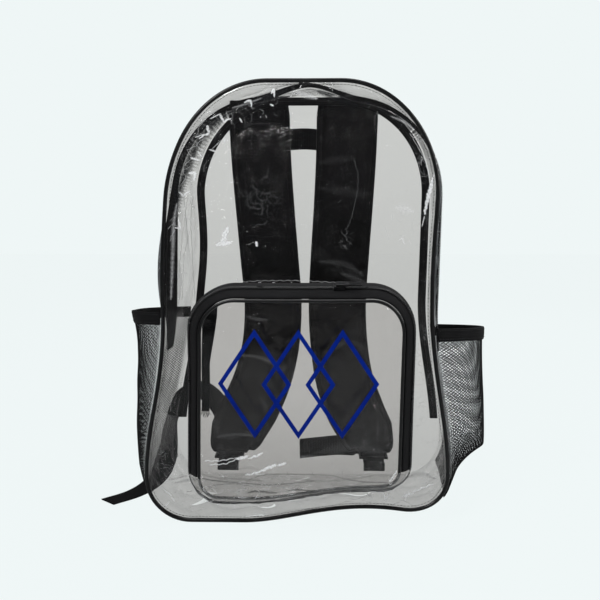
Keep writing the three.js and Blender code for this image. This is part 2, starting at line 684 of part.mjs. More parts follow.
// A place on the middle line of a strap's pad
function padPlace(side, row) {
  return vec(
    pad.drift * row.right + side * row.side * pad.side,
    backY + gap + (row.thick * pad.thick) / 2 + row.off * pad.standOff,
    lerp(padTop, pad.endHeight, row.down),
  );
}

function padSection(side, row) {
  const place = padPlace(side, row);
  return { place, lean: vec(1, 0, 0), width: row.wide * pad.width, thick: row.thick * pad.thick };
}

// The lock's own frame at the end of its pad: along points on to the bag's foot, and up away from the floor
function lockFrame(side) {
  const end = padPlace(side, padRows.at(-1));
  const foot = vec(end.x, backY + gap + webbing.thick, anchor.high + lock.clear);
  const along = foot.sub(end).normalize();
  const across = vec(1, 0, 0);
  const up = new THREE.Vector3().crossVectors(along, across);
  const half = 1.5 * lock.rail + lock.slot;
  const middle = end.clone().addScaledVector(along, half + lock.set);
  return { along, across, up, middle, half };
}

function ladderLock({ along, across, up, middle, half }) {
  const block = (length, width) => new THREE.BoxGeometry(length, width, lock.rail);
  const slotAt = (lock.rail + lock.slot) / 2;
  const slot = (at) => {
    const cut = new THREE.BoxGeometry(lock.slot, lock.width - 2 * lock.rail, 2 * lock.rail);
    return solidOf(cut.translate(at, 0, 0));
  };
  const body = solidOf(block(2 * half, lock.width)).subtract(slot(-slotAt)).subtract(slot(slotAt));
  return geometryOf(body).applyMatrix4(new THREE.Matrix4().makeBasis(along, across, up).setPosition(middle));
}

// The webbing: sewn to the foot of the back panel, up through the lock, over its middle rail, down
// again and away along its tail
function webbingRoute(name, frame) {
  const at = (long, high) =>
    frame.middle.clone().addScaledVector(frame.along, long).addScaledVector(frame.up, high);
  const slotAt = (lock.rail + lock.slot) / 2;
  const under = -(lock.rail / 2 + webbing.thick + lock.clear);
  const dip = slotAt + lock.lift;
  const y = backY + gap + webbing.thick / 2;
  const row = (place, lean) => ({ place, lean, width: webbing.width, thick: webbing.thick });
  const sewn = (out, high) => row(vec(frame.middle.x, y + out, high), vec(1, 0, 0));
  const held = (long, high) => row(at(long, high), vec(1, 0, 0));
  return [
    sewn(0, anchor.low),
    sewn(0, lerp(anchor.low, anchor.high, 0.5)),
    sewn(webbing.thick, lerp(anchor.low, anchor.high, 0.8)),
    held(frame.half + lock.lift, under),
    held(dip, under),
    held(slotAt, 0),
    held(0, lock.rail / 2 + 1.6 * webbing.thick),
    held(-slotAt, 0),
    held(-dip, under),
    held(-dip - lock.slot, under - webbing.thick),
    held(-dip - 2.5 * lock.slot, under - 2.5 * webbing.thick),
    ...tailRoutes[name].map(({ across, deep, high, lean }) =>
      row(
        vec(across * bag.footWidth, deep * bag.depth, (webbing.thick + gap) / 2 + high * tail.high),
        vec(...lean),
      ),
    ),
  ];
}

function addStraps() {
  for (const [name, side] of [["left", -1], ["right", 1]]) {
    const rows = padRows.map((row) => padSection(side, row));
    addMesh(`shoulder_strap_${name}`, ribbon(rows, padded, steps.pad), "fabric");
    const frame = lockFrame(side);
    addMesh(`ladder_lock_${name}`, ladderLock(frame), "plastic");
    addMesh(`webbing_${name}`, ribbon(webbingRoute(name, frame), flat, steps.webbing), "fabric");
  }
}

// The handle is sewn to the outer faces of both pads and bows out between them.
function addHandle() {
  const seat = (side) => {
    const rows = padRows.map((row) => padSection(side, row));
    const curve = new THREE.CatmullRomCurve3(rows.map((row) => row.place), false, "centripetal");
    let [above, below] = [0, 1];
    while (below - above > 1e-5) {
      const middle = (above + below) / 2;
      if (curve.getPoint(middle).z > bag.height - handle.drop) above = middle;
      else below = middle;
    }
    const along = curve.getTangent(above);
    along.x = 0;
    const out = new THREE.Vector3().crossVectors(along.normalize(), vec(-1, 0, 0));
    const place = curve.getPoint(above).addScaledVector(out, (pad.thick + webbing.thick) / 2 + gap);
    return { place, along, out };
  };
  const [left, right] = [seat(-1), seat(1)];
  const route = handleRows.map(({ across, bow }) => {
    const end = across < 0 ? left : right;
    const place = end.place.clone().addScaledVector(end.out, bow * handle.bow);
    place.x = pad.drift * padRows[0].right + across * handle.halfLength;
    return { place, lean: end.along, width: webbing.width, thick: webbing.thick };
  });
  addMesh("haul_loop", ribbon(route, flat, steps.handle), "fabric");
}

addBody();
addSeams();
addPocket();
addEmblem();
addSidePockets();
addStraps();
addHandle();

export default root;
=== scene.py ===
"""Looks of the clear backpack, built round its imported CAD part. Lengths are in millimetres until mesh()."""
import math

import bpy
import numpy as np
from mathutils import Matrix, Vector, noise
from mathutils.bvhtree import BVHTree


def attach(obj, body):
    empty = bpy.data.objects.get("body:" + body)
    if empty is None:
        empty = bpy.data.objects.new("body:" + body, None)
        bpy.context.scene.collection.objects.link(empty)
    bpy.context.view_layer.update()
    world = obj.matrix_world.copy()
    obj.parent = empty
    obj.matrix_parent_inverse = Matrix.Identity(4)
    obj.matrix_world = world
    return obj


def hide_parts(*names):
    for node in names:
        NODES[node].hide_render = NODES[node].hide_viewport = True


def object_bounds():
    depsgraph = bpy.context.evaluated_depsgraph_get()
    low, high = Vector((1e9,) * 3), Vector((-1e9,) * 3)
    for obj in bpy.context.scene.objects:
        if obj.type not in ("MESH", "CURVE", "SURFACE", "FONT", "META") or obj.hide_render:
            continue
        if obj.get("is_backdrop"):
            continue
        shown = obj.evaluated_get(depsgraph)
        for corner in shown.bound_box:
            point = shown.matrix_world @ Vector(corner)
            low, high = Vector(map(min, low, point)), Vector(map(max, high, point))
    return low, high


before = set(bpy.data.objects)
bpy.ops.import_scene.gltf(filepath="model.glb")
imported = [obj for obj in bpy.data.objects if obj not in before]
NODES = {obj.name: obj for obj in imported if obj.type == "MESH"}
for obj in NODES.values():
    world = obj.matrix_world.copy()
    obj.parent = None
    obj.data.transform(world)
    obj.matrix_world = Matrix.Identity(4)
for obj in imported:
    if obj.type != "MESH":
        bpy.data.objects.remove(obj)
cad_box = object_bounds()

# ---- the part's own dimensions, as its source has them ----
HEIGHT, FOOT, WAIST, DEPTH = 432.0, 302.0, 262.0, 150.0
FOOT_R, CROWN_FLAT, CROWN_DROP = 46.0, 70.0, 112.0
FRONT_SWELL, SIDE_SWELL, CROWN_SAG, CROWN_PEAK, LEAN = 7.0, 5.0, 13.0, -0.1, 7.0
BACK_INSET, BACK_DROP, BACK_SHIFT = -4.0, -7.0, 9.0
FILM, GAP = 1.0, 0.3
PIPING_R = 2.0
ZIP_CENTRE, ZIP_WIDTH, ZIP_THICK, ZIP_END = -14.0, 30.0, 1.0, 165.0
COIL_WIDTH, COIL_HEIGHT = 5.0, 1.8
POCKET = dict(width=219.0, shift=3.0, low=22.0, high=240.0, depth=28.0, taper=13.0,
              top=46.0, foot=34.0, face=5.0, side=3.0)
POCKET_PIPING_R, POCKET_COIL_AT = 1.6, 0.52
INNER_TAPE = dict(width=16.0, end=8.0, thick=1.0, high=219.0, low=114.0, inset=0.0)
HEM_HEIGHT, HEM_THICK = 12.0, 2.4
MESH_INSET, MESH_ARCH, MESH_LIFT = 6.0, 2.8, 1.1
SIDE_POCKETS = {
    "left": dict(side=-1, low=24.0, high=200.0, rise=10.0, stand=38.0, foot=0.2, closing=0.14, pinch=0.45),
    "right": dict(side=1, low=21.0, high=180.0, rise=15.0, stand=47.0, foot=0.64, closing=0.27, pinch=2.4),
}
PAD = dict(width=70.0, thick=12.0, stand=36.0, side=53.0, drift=6.0, top=434.0, end=17.0)
WEB_WIDTH, WEB_THICK = 25.0, 1.5
LOCK = dict(width=34.0, rail=2.6, slot=6.0, clear=1.2, lift=3.9, set=2.1)
HANDLE = dict(height=389.0, half=44.0, bow=16.0)
ANCHOR = (4.0, 15.0)
TAIL_HIGH = 88.0
BINDING = dict(width=9.0, thick=1.2, inset=2.2, end=68.0)
DENTS = [  # across, deep, high, reach across, reach deep, reach high, move across, move high
    (0.23, -0.5, 0, 0.4, 0.3, 0.24, 0, 0.035),
    (0.46, -0.5, 0.58, 0.2, 0.4, 0.2, -0.008, 0),
    (-0.43, 0.5, 0.62, 0.25, 0.5, 0.17, 0.014, 0),
    (-0.47, -0.25, 0.58, 0.22, 0.245, 0.22, -0.03, 0),
    (-0.45, -0.5, 0.57, 0.2, 0.5, 0.3, -0.016, 0),
]
PAD_ROWS = np.array([  # down, side, right, off, wide, thick
    (0, 0.95, 0.65, 0.0, 0.94, 0.42), (0.04, 0.95, 0.65, 0.14, 1.0, 0.8), (0.16, 0.93, 0.68, 0.5, 1.0, 1.0),
    (0.3, 0.87, 0.75, 0.84, 1.0, 1.0), (0.43, 0.8, 0.82, 1.0, 1.0, 1.0), (0.57, 0.735, 0.95, 1.02, 0.99, 1.0),
    (0.69, 0.79, 0.9, 0.98, 0.99, 1.0), (0.79, 0.95, 0.6, 0.94, 1.0, 1.0),
    (0.875, 1.21, 0.35, 0.96, 1.01, 1.0), (0.952, 1.52, 0.25, 1.02, 0.95, 0.95),
    (0.986, 1.63, 0.25, 0.97, 0.78, 0.7), (1.0, 1.635, 0.25, 0.82, 0.58, 0.45),
])
TAILS = {  # across, deep, high, and the way the webbing's width lies
    "left": [
        (-0.285, 0.88, 0.24, (1, 0, 0.1)), (-0.305, 0.9, 0.5, (0.95, 0, 0.25)),
        (-0.345, 0.89, 0.8, (0.85, 0, 0.55)), (-0.41, 0.86, 1.0, (0.3, -0.2, 0.9)),
        (-0.48, 0.8, 0.94, (-0.35, -0.6, 0.7)), (-0.525, 0.75, 0.6, (-0.45, -0.85, 0)),
        (-0.535, 0.7, 0.22, (-0.75, -0.6, 0)), (-0.545, 0.62, 0.05, (-1, -0.15, 0)),
        (-0.545, 0.5, 0.006, (-1, 0, 0)), (-0.56, 0.2, 0, (-1, 0.1, 0)),
        (-0.6, 0, 0, (-0.75, 0.6, 0)), (-0.67, -0.16, 0, (-0.6, 0.8, 0)),
    ],
    "right": [
        (0.27, 0.86, 0.15, (1, 0, 0.15)), (0.235, 0.93, 0.16, (0.55, 0.5, 0.7)),
        (0.17, 0.935, 0.175, (0, 0.1, 1)), (0.085, 0.89, 0.175, (0, 0, 1)),
        (-0.003, 0.83, 0.17, (0, 0, 1)),
    ],
}
HANDLE_ROWS = [(-1, 0), (-0.75, 0.02), (-0.5, 0.28), (-0.25, 0.8), (0, 1), (0.25, 0.8), (0.5, 0.28),
               (0.75, 0.02), (1, 0)]
FRONT_Y, BACK_Y = -DEPTH / 2, DEPTH / 2
BAG_MIDDLE, POCKET_MIDDLE = (0, 0, 200), (3, -60, 130)
TOWARDS_FRONT = (0.0, -1.0, 0.0)

# ---- what the visual model adds ----
NET = dict(columns=94, pitch=1.6, hole=0.755, thread=0.3, ripple=0.8)
FRAY = dict(count=14, steps=7, pitch=1.6, thick=0.4)
PAD_STEPS, WEB_STEPS, HANDLE_STEPS = 150, 420, 140
TOOTH = dict(pitch=0.9, width=0.8)
TACK = np.linspace(-10, 10, 12)[:, None]  # the stitches of a row across the webbing


def lerp(a, b, t):
    """From a at share 0 to b at share 1."""
    return a + (b - a) * t


def smooth(v, lo, hi):
    """0 below lo and 1 above hi, with an easy change between."""
    t = np.clip((v - lo) / (hi - lo), 0, 1)
    return t * t * (3 - 2 * t)


def settled(points):
    """Moves points as the dents and the lean say."""
    p = np.array(points, float)
    x, y, z = p[..., 0].copy(), p[..., 1], p[..., 2].copy()
    deep = np.clip(y, -DEPTH / 2, DEPTH / 2)
    for across, at, high, ra, rd, rh, ma, mh in DENTS:
        sideways, backwards = ((x / FOOT - across) / ra) ** 2, ((deep / DEPTH - at) / rd) ** 2
        far = sideways + backwards + ((z / HEIGHT - high) / rh) ** 2
        share = np.where(far < 1, (1 - np.minimum(far, 1)) ** 2, 0)
        p[..., 0] += ma * FOOT * share
        p[..., 2] += mh * HEIGHT * share
    p[..., 0] += LEAN * smooth(z, 0, HEIGHT)
    return p


def half_width(z, inset=0.0, top=HEIGHT):
    """Half the bag's width at a height: a round foot, a waist and an elliptic crown."""
    z = np.asarray(z, float)
    foot, waist, start = FOOT / 2 - inset, WAIST / 2 - inset, top - CROWN_DROP
    low = foot - FOOT_R + np.sqrt(np.maximum(0, FOOT_R**2 - (FOOT_R - np.minimum(z, FOOT_R)) ** 2))
    rise = np.clip((z - start) / CROWN_DROP, 0, 1)
    high = CROWN_FLAT / 2 + (waist - CROWN_FLAT / 2) * np.sqrt(1 - rise**2)
    middle = lerp(foot, waist, smooth(z, FOOT_R, start * 0.65))
    return np.where(z < FOOT_R, low, np.where(z > start, high, middle))


def arc(cx, cz, rx, rz, start, stop, count):
    """Stations x, z, nx, nz along an elliptic arc."""
    a = np.linspace(start, stop, count + 1)
    n = np.stack([np.cos(a) * rz, np.sin(a) * rx])
    n /= np.linalg.norm(n, axis=0)
    return np.stack([cx + rx * np.cos(a), cz + rz * np.sin(a), n[0], n[1]])


def straight(x, z):
    return np.stack([x, z, np.ones_like(z), np.zeros_like(z)])


def bag_half(inset=0.0, drop=0.0):
    """Right half of a seam, base to crown, as x, z, nx, nz; and where the zipper ends on it."""
    top = HEIGHT - drop
    start = top - CROWN_DROP
    foot, waist = FOOT / 2 - inset, WAIST / 2 - inset
    base = arc(foot - FOOT_R, FOOT_R, FOOT_R, FOOT_R, -math.pi / 2, 0, 16)
    low = np.linspace(FOOT_R, ZIP_END, 27)[1:]
    high = np.linspace(ZIP_END, start, 33)[1:]
    crown = arc(CROWN_FLAT / 2, start, waist - CROWN_FLAT / 2, CROWN_DROP, 0, math.pi / 2, 36)[:, 1:]
    sides = [straight(half_width(z, inset, top), z) for z in (low, high)]
    return np.concatenate([base, *sides, crown], axis=1), 16 + 26


def pocket_half(inset=0.0):
    """Right half of the pocket's outline, and where its zipper ends on it."""
    half, low, high = POCKET["width"] / 2 - inset, POCKET["low"] + inset, POCKET["high"] - inset
    foot, top = POCKET["foot"] - inset, POCKET["top"] - inset
    corner = arc(half - foot, low + foot, foot, foot, -math.pi / 2, 0, 14)
    z = np.linspace(low + foot, high - top, 31)[1:-1]
    crown = arc(half - top, high - top, top, top, 0, math.pi / 2, 16)
    return np.concatenate([corner, straight(np.full_like(z, half), z), crown], axis=1), 14


def seam(half, split, across):
    """A whole seam from its right half, also as the stretches over and under its zipper's ends."""
    left = half * np.array([[-1], [1], [-1], [1]])

    def between(a, b):
        t = np.arange(1, across) / across
        places = [lerp(a[0], b[0], t), lerp(a[1], b[1], t)]
        return np.stack([*places, np.full_like(t, a[2]), np.full_like(t, a[3])])

    crown = between(half[:, -1], left[:, -1])
    over = np.concatenate([half[:, split:], crown, left[:, split:][:, ::-1]], axis=1)
    base = between(left[:, 0], half[:, 0])
    under = np.concatenate([left[:, : split + 1][:, ::-1], base, half[:, : split + 1]], axis=1)
    loop = np.concatenate([over[:, :-1], under[:, :-1]], axis=1)
    return dict(right=half, left=left, over=over, under=under, loop=loop)


front = seam(*bag_half(), 34)
rear = seam(*bag_half(BACK_INSET, BACK_DROP), 34)
pocket_base = seam(*pocket_half(), 34)
pocket_rim = seam(*pocket_half(POCKET["taper"]), 34)
POCKET_WALL = math.hypot(POCKET["depth"], POCKET["taper"])


def wall_point(fs, rs, deep, out=0.0):
    """A point of the wall between a front and a rear station, deep being its share of the way back."""
    arch = 4 * deep * (1 - deep)
    level = np.maximum(0, fs[3])
    shoulder = lerp(CROWN_PEAK, 1, smooth(np.abs(fs[0]), 0, CROWN_FLAT * 0.8))
    swell = arch * (SIDE_SWELL * fs[2] ** 2 - CROWN_SAG * shoulder * level**2) + out
    x = lerp(fs[0], rs[0] + BACK_SHIFT, deep) + swell * fs[2]
    z = lerp(fs[1], rs[1], deep) + swell * fs[3]
    return np.stack(np.broadcast_arrays(x, lerp(FRONT_Y, BACK_Y, deep), z), axis=-1)


def wall_band(stretch, from_y, to_y, columns, out=0.0):
    """A grid over a stretch of the wall between two depths."""
    deep = (np.linspace(from_y, to_y, columns + 1) - FRONT_Y) / DEPTH
    return settled(wall_point(front[stretch][:, :, None], rear[stretch][:, :, None], deep[None, :], out))


def front_swell(x, z):
    """How far the front panel bulges."""
    reach = np.maximum(1, half_width(np.clip(z, 0, HEIGHT)))
    across = np.minimum(1, np.abs(x) / reach)
    share = np.clip(z / HEIGHT, 0, 1)
    return FRONT_SWELL * (1 - across**2) * np.sqrt(4 * share * (1 - share))


def panel(outline, inward, face, columns=110):
    """A grid over the face inside an outline."""
    r, l = outline["right"], outline["left"]
    t = np.linspace(0, 1, columns + 1)[None, :]
    x = lerp((l[0] - l[2] * inward)[:, None], (r[0] - r[2] * inward)[:, None], t)
    z = np.broadcast_to((r[1] - r[3] * inward)[:, None], x.shape)
    return settled(face(x, z))


def pocket_face_y(x, z):
    across = np.minimum(1, np.abs(x) / (POCKET["width"] / 2))
    middle, half = (POCKET["low"] + POCKET["high"]) / 2, (POCKET["high"] - POCKET["low"]) / 2
    up = np.minimum(1, np.abs(z - middle) / half)
    swell = POCKET["face"] * (1 - across**2) * (1 - up**2)
    return FRONT_Y - front_swell(x + POCKET["shift"], z) - POCKET["depth"] - swell


def pocket_wall(stretch, shares, out=0.0):
    """A grid over a stretch of the pocket's wall, at shares of the way from the bag to its rim."""
    base, rim = pocket_base[stretch][:, :, None], pocket_rim[stretch][:, :, None]
    t = np.asarray(shares)[None, :]
    stand = (POCKET["side"] * 4 * t * (1 - t) + out) / POCKET_WALL
    level, forward = stand * POCKET["depth"], stand * POCKET["taper"]
    seat = FILM / 2 + GAP + FILM * POCKET["taper"] / POCKET_WALL
    base_y = FRONT_Y - front_swell(base[0] + POCKET["shift"], base[1]) - seat
    y = lerp(base_y, pocket_face_y(rim[0], rim[1]), t) - forward
    x = lerp(base[0], rim[0], t) + POCKET["shift"] + level * base[2]
    z = lerp(base[1], rim[1], t) + level * base[3]
    return settled(np.stack(np.broadcast_arrays(x, y, z), axis=-1))


def side_station(z, inset=0.0, drop=0.0):
    """The right-hand station of a seam at a height."""
    x = half_width(z, inset, HEIGHT - drop)
    nz = np.minimum(0, (z - FOOT_R) / FOOT_R)
    return x, z, np.sqrt(1 - nz**2), nz


def side_pocket(form, deep, up, out=0.0):
    """A point of a side pocket, deep and up being shares of its depth and height."""
    z = lerp(form["low"], form["high"] + form["rise"] * (1 - deep), up)
    swell = 1 - np.abs((2 * deep - 1) / (1 - 2 * MESH_INSET / DEPTH)) ** MESH_ARCH
    closed = np.minimum(1, up / form["closing"]) ** form["pinch"]
    bulge = form["stand"] * swell * lerp(form["foot"], 1, up) * closed
    turned = lambda s: (form["side"] * s[0], s[1], form["side"] * s[2], s[3])
    fs, rs = turned(side_station(z)), turned(side_station(z, BACK_INSET, BACK_DROP))
    return settled(wall_point(fs, rs, deep, MESH_LIFT + bulge + out))


# ---- curves, as the part's source draws them ----
def catmull(points, shares):
    pts = np.asarray(points, float)
    ends = np.concatenate([[2 * pts[0] - pts[1]], pts, [2 * pts[-1] - pts[-2]]])
    last = len(pts) - 1
    spot = np.clip(np.asarray(shares) * last, 0, last)
    i = np.minimum(spot.astype(int), last - 1)
    t = (spot - i)[:, None]
    p0, p1, p2, p3 = (ends[i + k] for k in range(4))
    dt = [np.linalg.norm(b - a, axis=1)[:, None] ** 0.5 for a, b in ((p0, p1), (p1, p2), (p2, p3))]
    t1 = ((p1 - p0) / dt[0] - (p2 - p0) / (dt[0] + dt[1]) + (p2 - p1) / dt[1]) * dt[1]
    t2 = ((p2 - p1) / dt[1] - (p3 - p1) / (dt[1] + dt[2]) + (p3 - p2) / dt[2]) * dt[1]
    return p1 + t1 * t + (3 * (p2 - p1) - 2 * t1 - t2) * t**2 + (2 * (p1 - p2) + t1 + t2) * t**3


def unit(v):
    return v / np.maximum(np.linalg.norm(v, axis=-1, keepdims=True), 1e-9)


def travelled(path):
    """The distance along a path to each of its points."""
    return np.concatenate([[0], np.cumsum(np.linalg.norm(np.diff(path, axis=0), axis=1))])


def ribbon_frame(rows, count):
    """Rows are place, lean, width, thick. Gives the middle, across, up, width, thick and length run."""
    places = [r[0] for r in rows]
    shares = np.linspace(0, 1, count + 1)
    middle = catmull(places, shares)
    ahead, behind = np.minimum(1, shares + 1e-4), np.maximum(0, shares - 1e-4)
    along = unit(catmull(places, ahead) - catmull(places, behind))
    key = np.linspace(0, 1, len(rows))
    by = lambda values: np.stack([np.interp(shares, key, c) for c in np.asarray(values, float).T], axis=1)
    across = by([r[1] for r in rows])
    across = unit(across - along * np.sum(across * along, axis=1, keepdims=True))
    up = np.cross(along, across)
    wide, thick = by([[r[2], r[3]] for r in rows]).T
    return middle, across, up, wide, thick, travelled(middle)


def pad_place(side, row):
    down, at, right, off, _, thick = row
    x = PAD["drift"] * right + side * at * PAD["side"]
    y = BACK_Y + GAP + thick * PAD["thick"] / 2 + off * PAD["stand"]
    return np.array([x, y, lerp(PAD["top"], PAD["end"], down)])


def lock_frame(side):
    end = pad_place(side, PAD_ROWS[-1])
    foot = np.array([end[0], BACK_Y + GAP + WEB_THICK, ANCHOR[1] + LOCK["clear"]])
    along = unit(foot - end)
    across = np.array([1.0, 0, 0])
    half = 1.5 * LOCK["rail"] + LOCK["slot"]
    return along, np.cross(along, across), end + along * (half + LOCK["set"]), half


def webbing_rows(name, side):
    along, up, middle, half = lock_frame(side)
    at = lambda long, high: middle + along * long + up * high
    slot = (LOCK["rail"] + LOCK["slot"]) / 2
    under = -(LOCK["rail"] / 2 + WEB_THICK + LOCK["clear"])
    dip = slot + LOCK["lift"]
    y = BACK_Y + GAP + WEB_THICK / 2
    level = (1.0, 0, 0)
    sewn = lambda out, high: (np.array([middle[0], y + out, high]), level, WEB_WIDTH, WEB_THICK)
    held = lambda long, high: (at(long, high), level, WEB_WIDTH, WEB_THICK)
    rows = [sewn(0, ANCHOR[0]), sewn(0, lerp(*ANCHOR, 0.5)), sewn(WEB_THICK, lerp(*ANCHOR, 0.8)),
            held(half + LOCK["lift"], under), held(dip, under), held(slot, 0),
            held(0, LOCK["rail"] / 2 + 1.6 * WEB_THICK), held(-slot, 0), held(-dip, under),
            held(-dip - LOCK["slot"], under - WEB_THICK),
            held(-dip - 2.5 * LOCK["slot"], under - 2.5 * WEB_THICK)]
    for across, deep, high, lean in TAILS[name]:
        place = np.array([across * FOOT, deep * DEPTH, (WEB_THICK + GAP) / 2 + high * TAIL_HIGH])
        rows.append((place, lean, WEB_WIDTH, WEB_THICK))
    return rows


# ---- meshes ----
def mesh(name, points, faces, material, uv=None, attributes=None):
    """A smooth mesh object that rides on the bag, from lengths in millimetres."""
    data = bpy.data.meshes.new(name)
    data.from_pydata((np.asarray(points, float).reshape(-1, 3) * 0.001).tolist(), [], faces)
    materials = material if isinstance(material, (list, tuple)) else [material]
    for m in materials:
        data.materials.append(m)
    if uv is not None:
        flat = np.asarray(uv, float).reshape(-1, 2)
        layer = data.uv_layers.new(name="UVMap")
        index = np.empty(len(data.loops), dtype=np.int32)
        data.loops.foreach_get("vertex_index", index)
        layer.data.foreach_set("uv", (flat[index] * 0.001).ravel())
    for key, values in (attributes or {}).items():
        layer = data.attributes.new(key, "FLOAT", "POINT")
        layer.data.foreach_set("value", np.asarray(values, float).ravel())
    data.polygons.foreach_set("use_smooth", [True] * len(data.polygons))
    data.update()
    made = bpy.data.objects.new(name, data)
    bpy.context.scene.collection.objects.link(made)
    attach(made, "root")
    return made


def grid_faces(rows, columns, wrap_rows=False, wrap_columns=False, start=0, flip=False):
    """The quads of a grid of points, closed on itself where it wraps."""
    r, c = (rows if wrap_rows else rows - 1), (columns if wrap_columns else columns - 1)
    i, j = np.meshgrid(np.arange(r), np.arange(c), indexing="ij")
    i2, j2 = (i + 1) % rows, (j + 1) % columns
    corners = [i * columns + j, i2 * columns + j, i2 * columns + j2, i * columns + j2]
    quads = np.stack(corners, axis=-1).reshape(-1, 4)
    if flip:
        quads = quads[:, ::-1]
    return (quads + start).tolist()


def capped(rows, columns):
    """The faces of a tube with flat ends, from a grid of rings."""
    last = (rows - 1) * columns
    ends = [list(range(columns)), list(range(last, last + columns))[::-1]]
    return grid_faces(rows, columns, wrap_columns=True) + ends


def used_only(points, faces):
    """The points that the faces use, the faces numbered for them, and which points they were."""
    faces = np.array(faces)
    used = np.unique(faces)
    place = np.full(len(points), -1)
    place[used] = np.arange(len(used))
    return np.array(points)[used], place[faces].tolist(), used


def lengths(grid):
    """Distances in millimetres along rows and columns of a grid, for its UVs."""
    du = np.linalg.norm(np.diff(grid, axis=0), axis=-1).mean(axis=1)
    dv = np.linalg.norm(np.diff(grid, axis=1), axis=-1)
    u = np.concatenate([[0], np.cumsum(du)])[:, None]
    v = np.concatenate([np.zeros((len(grid), 1)), np.cumsum(dv, axis=1)], axis=1)
    v = v - v[:, -1:] / 2
    return np.stack(np.broadcast_arrays(u, v), axis=-1)


def outward(grid, centre=BAG_MIDDLE):
    """The grid's normals, turned away from the centre."""
    n = unit(np.cross(np.gradient(grid, axis=0), np.gradient(grid, axis=1)))
    return n if np.sum(n * (grid - np.array(centre, float))) > 0 else -n


def field(points, scale, seed=0.0):
    """Soft noise at points, scale in millimetres for each axis."""
    flat = np.asarray(points, float).reshape(-1, 3) / np.asarray(scale, float) + seed
    values = np.array([noise.noise(Vector(p)) for p in flat])
    return values.reshape(np.asarray(points).shape[:-1])


def sheet(name, outer, inner, material):
    """A closed sheet between two grids."""
    rows, columns = outer.shape[:2]
    count = rows * columns
    border = [(i, 0) for i in range(rows)] + [(rows - 1, j) for j in range(1, columns)]
    border += [(i, columns - 1) for i in range(rows - 2, -1, -1)]
    border += [(0, j) for j in range(columns - 2, 0, -1)]
    faces = grid_faces(rows, columns) + grid_faces(rows, columns, start=count, flip=True)
    ids = [i * columns + j for i, j in border]
    for a, b in zip(ids, ids[1:] + ids[:1]):
        faces.append([b, a, a + count, b + count])
    uv = lengths(outer).reshape(-1, 2)
    made = mesh(name, np.concatenate([outer.reshape(-1, 3), inner.reshape(-1, 3)]), faces, material,
                np.concatenate([uv, uv]))
    made.data.polygons.foreach_set("use_smooth", [True] * (len(faces) - len(ids)) + [False] * len(ids))
    return made


def tube(name, path, radius, material, sides=12, closed=True):
    """A round cord along a path."""
    path = np.asarray(path, float)
    if closed:
        along = unit(np.roll(path, -1, axis=0) - np.roll(path, 1, axis=0))
    else:
        along = unit(np.gradient(path, axis=0))
    side = unit(np.cross(along, np.broadcast_to((0.0, 1.0, 0.0), along.shape)))
    up = np.cross(side, along)
    a = np.linspace(0, 2 * math.pi, sides, endpoint=False)
    r = np.broadcast_to(np.asarray(radius, float), (len(path),))[:, None, None]
    round_ = side[:, None] * np.cos(a)[None, :, None] + up[:, None] * np.sin(a)[None, :, None]
    ring_shape = (len(path), sides)
    faces = grid_faces(*ring_shape, wrap_rows=True, wrap_columns=True) if closed else capped(*ring_shape)
    round_uv = (a * float(np.mean(radius)))[None, :]
    uv = np.stack(np.broadcast_arrays(travelled(path)[:, None], round_uv), axis=-1)
    return mesh(name, path[:, None] + r * round_, faces, material, uv)


CAPSULE = [  # share of the length, share of the girth
    (-1.0, 0.35), (-0.8, 0.85), (0.0, 1.0), (0.8, 0.85), (1.0, 0.35),
]


def capsules(name, middles, along, up, length, width, height, material, sides=6):
    """Many small rounded rods at once: stitches, threads or zipper teeth."""
    middles, along, up = (np.asarray(v, float) for v in (middles, along, up))
    along = unit(along)
    up = unit(up - along * np.sum(up * along, axis=1, keepdims=True))
    side = np.cross(along, up)
    a = np.linspace(0, 2 * math.pi, sides, endpoint=False)
    flat, high = (np.cos(a) * width / 2)[None, :, None], (np.sin(a) * height / 2)[None, :, None]
    round_ = side[:, None] * flat + up[:, None] * high
    rings = [(middles + along * share * length / 2)[:, None] + girth * round_ for share, girth in CAPSULE]
    one, per = capped(len(CAPSULE), sides), len(CAPSULE) * sides
    faces = [[v + k * per for v in f] for k in range(len(middles)) for f in one]
    return mesh(name, np.stack(rings, axis=1), faces, material)


def paced(path, up, pitch, closed=False):
    """Evenly spaced places along a path, with their directions."""
    path, up = np.asarray(path, float), np.asarray(up, float)
    if closed:
        path, up = np.concatenate([path, path[:1]]), np.concatenate([up, up[:1]])
    run = travelled(path)
    count = max(2, int(run[-1] / pitch))
    spots = (np.arange(count) + 0.5) * run[-1] / count
    at = lambda s: np.stack([np.interp(s, run, path[:, k]) for k in range(3)], axis=1)
    ups = np.stack([np.interp(spots, run, up[:, k]) for k in range(3)], axis=1)
    return at(spots), unit(at(spots + 0.4) - at(spots - 0.4)), ups


STITCH = dict(lift=0.1, share=0.72, width=0.55, height=0.8 * 0.55)


def stitches(name, path, up, pitch=3.4, closed=False):
    """A row of stitches along a path."""
    middles, along, ups = paced(path, up, pitch, closed)
    return capsules(name, middles + unit(ups) * STITCH["lift"], along, ups, pitch * STITCH["share"],
                    STITCH["width"], STITCH["height"], THREAD)


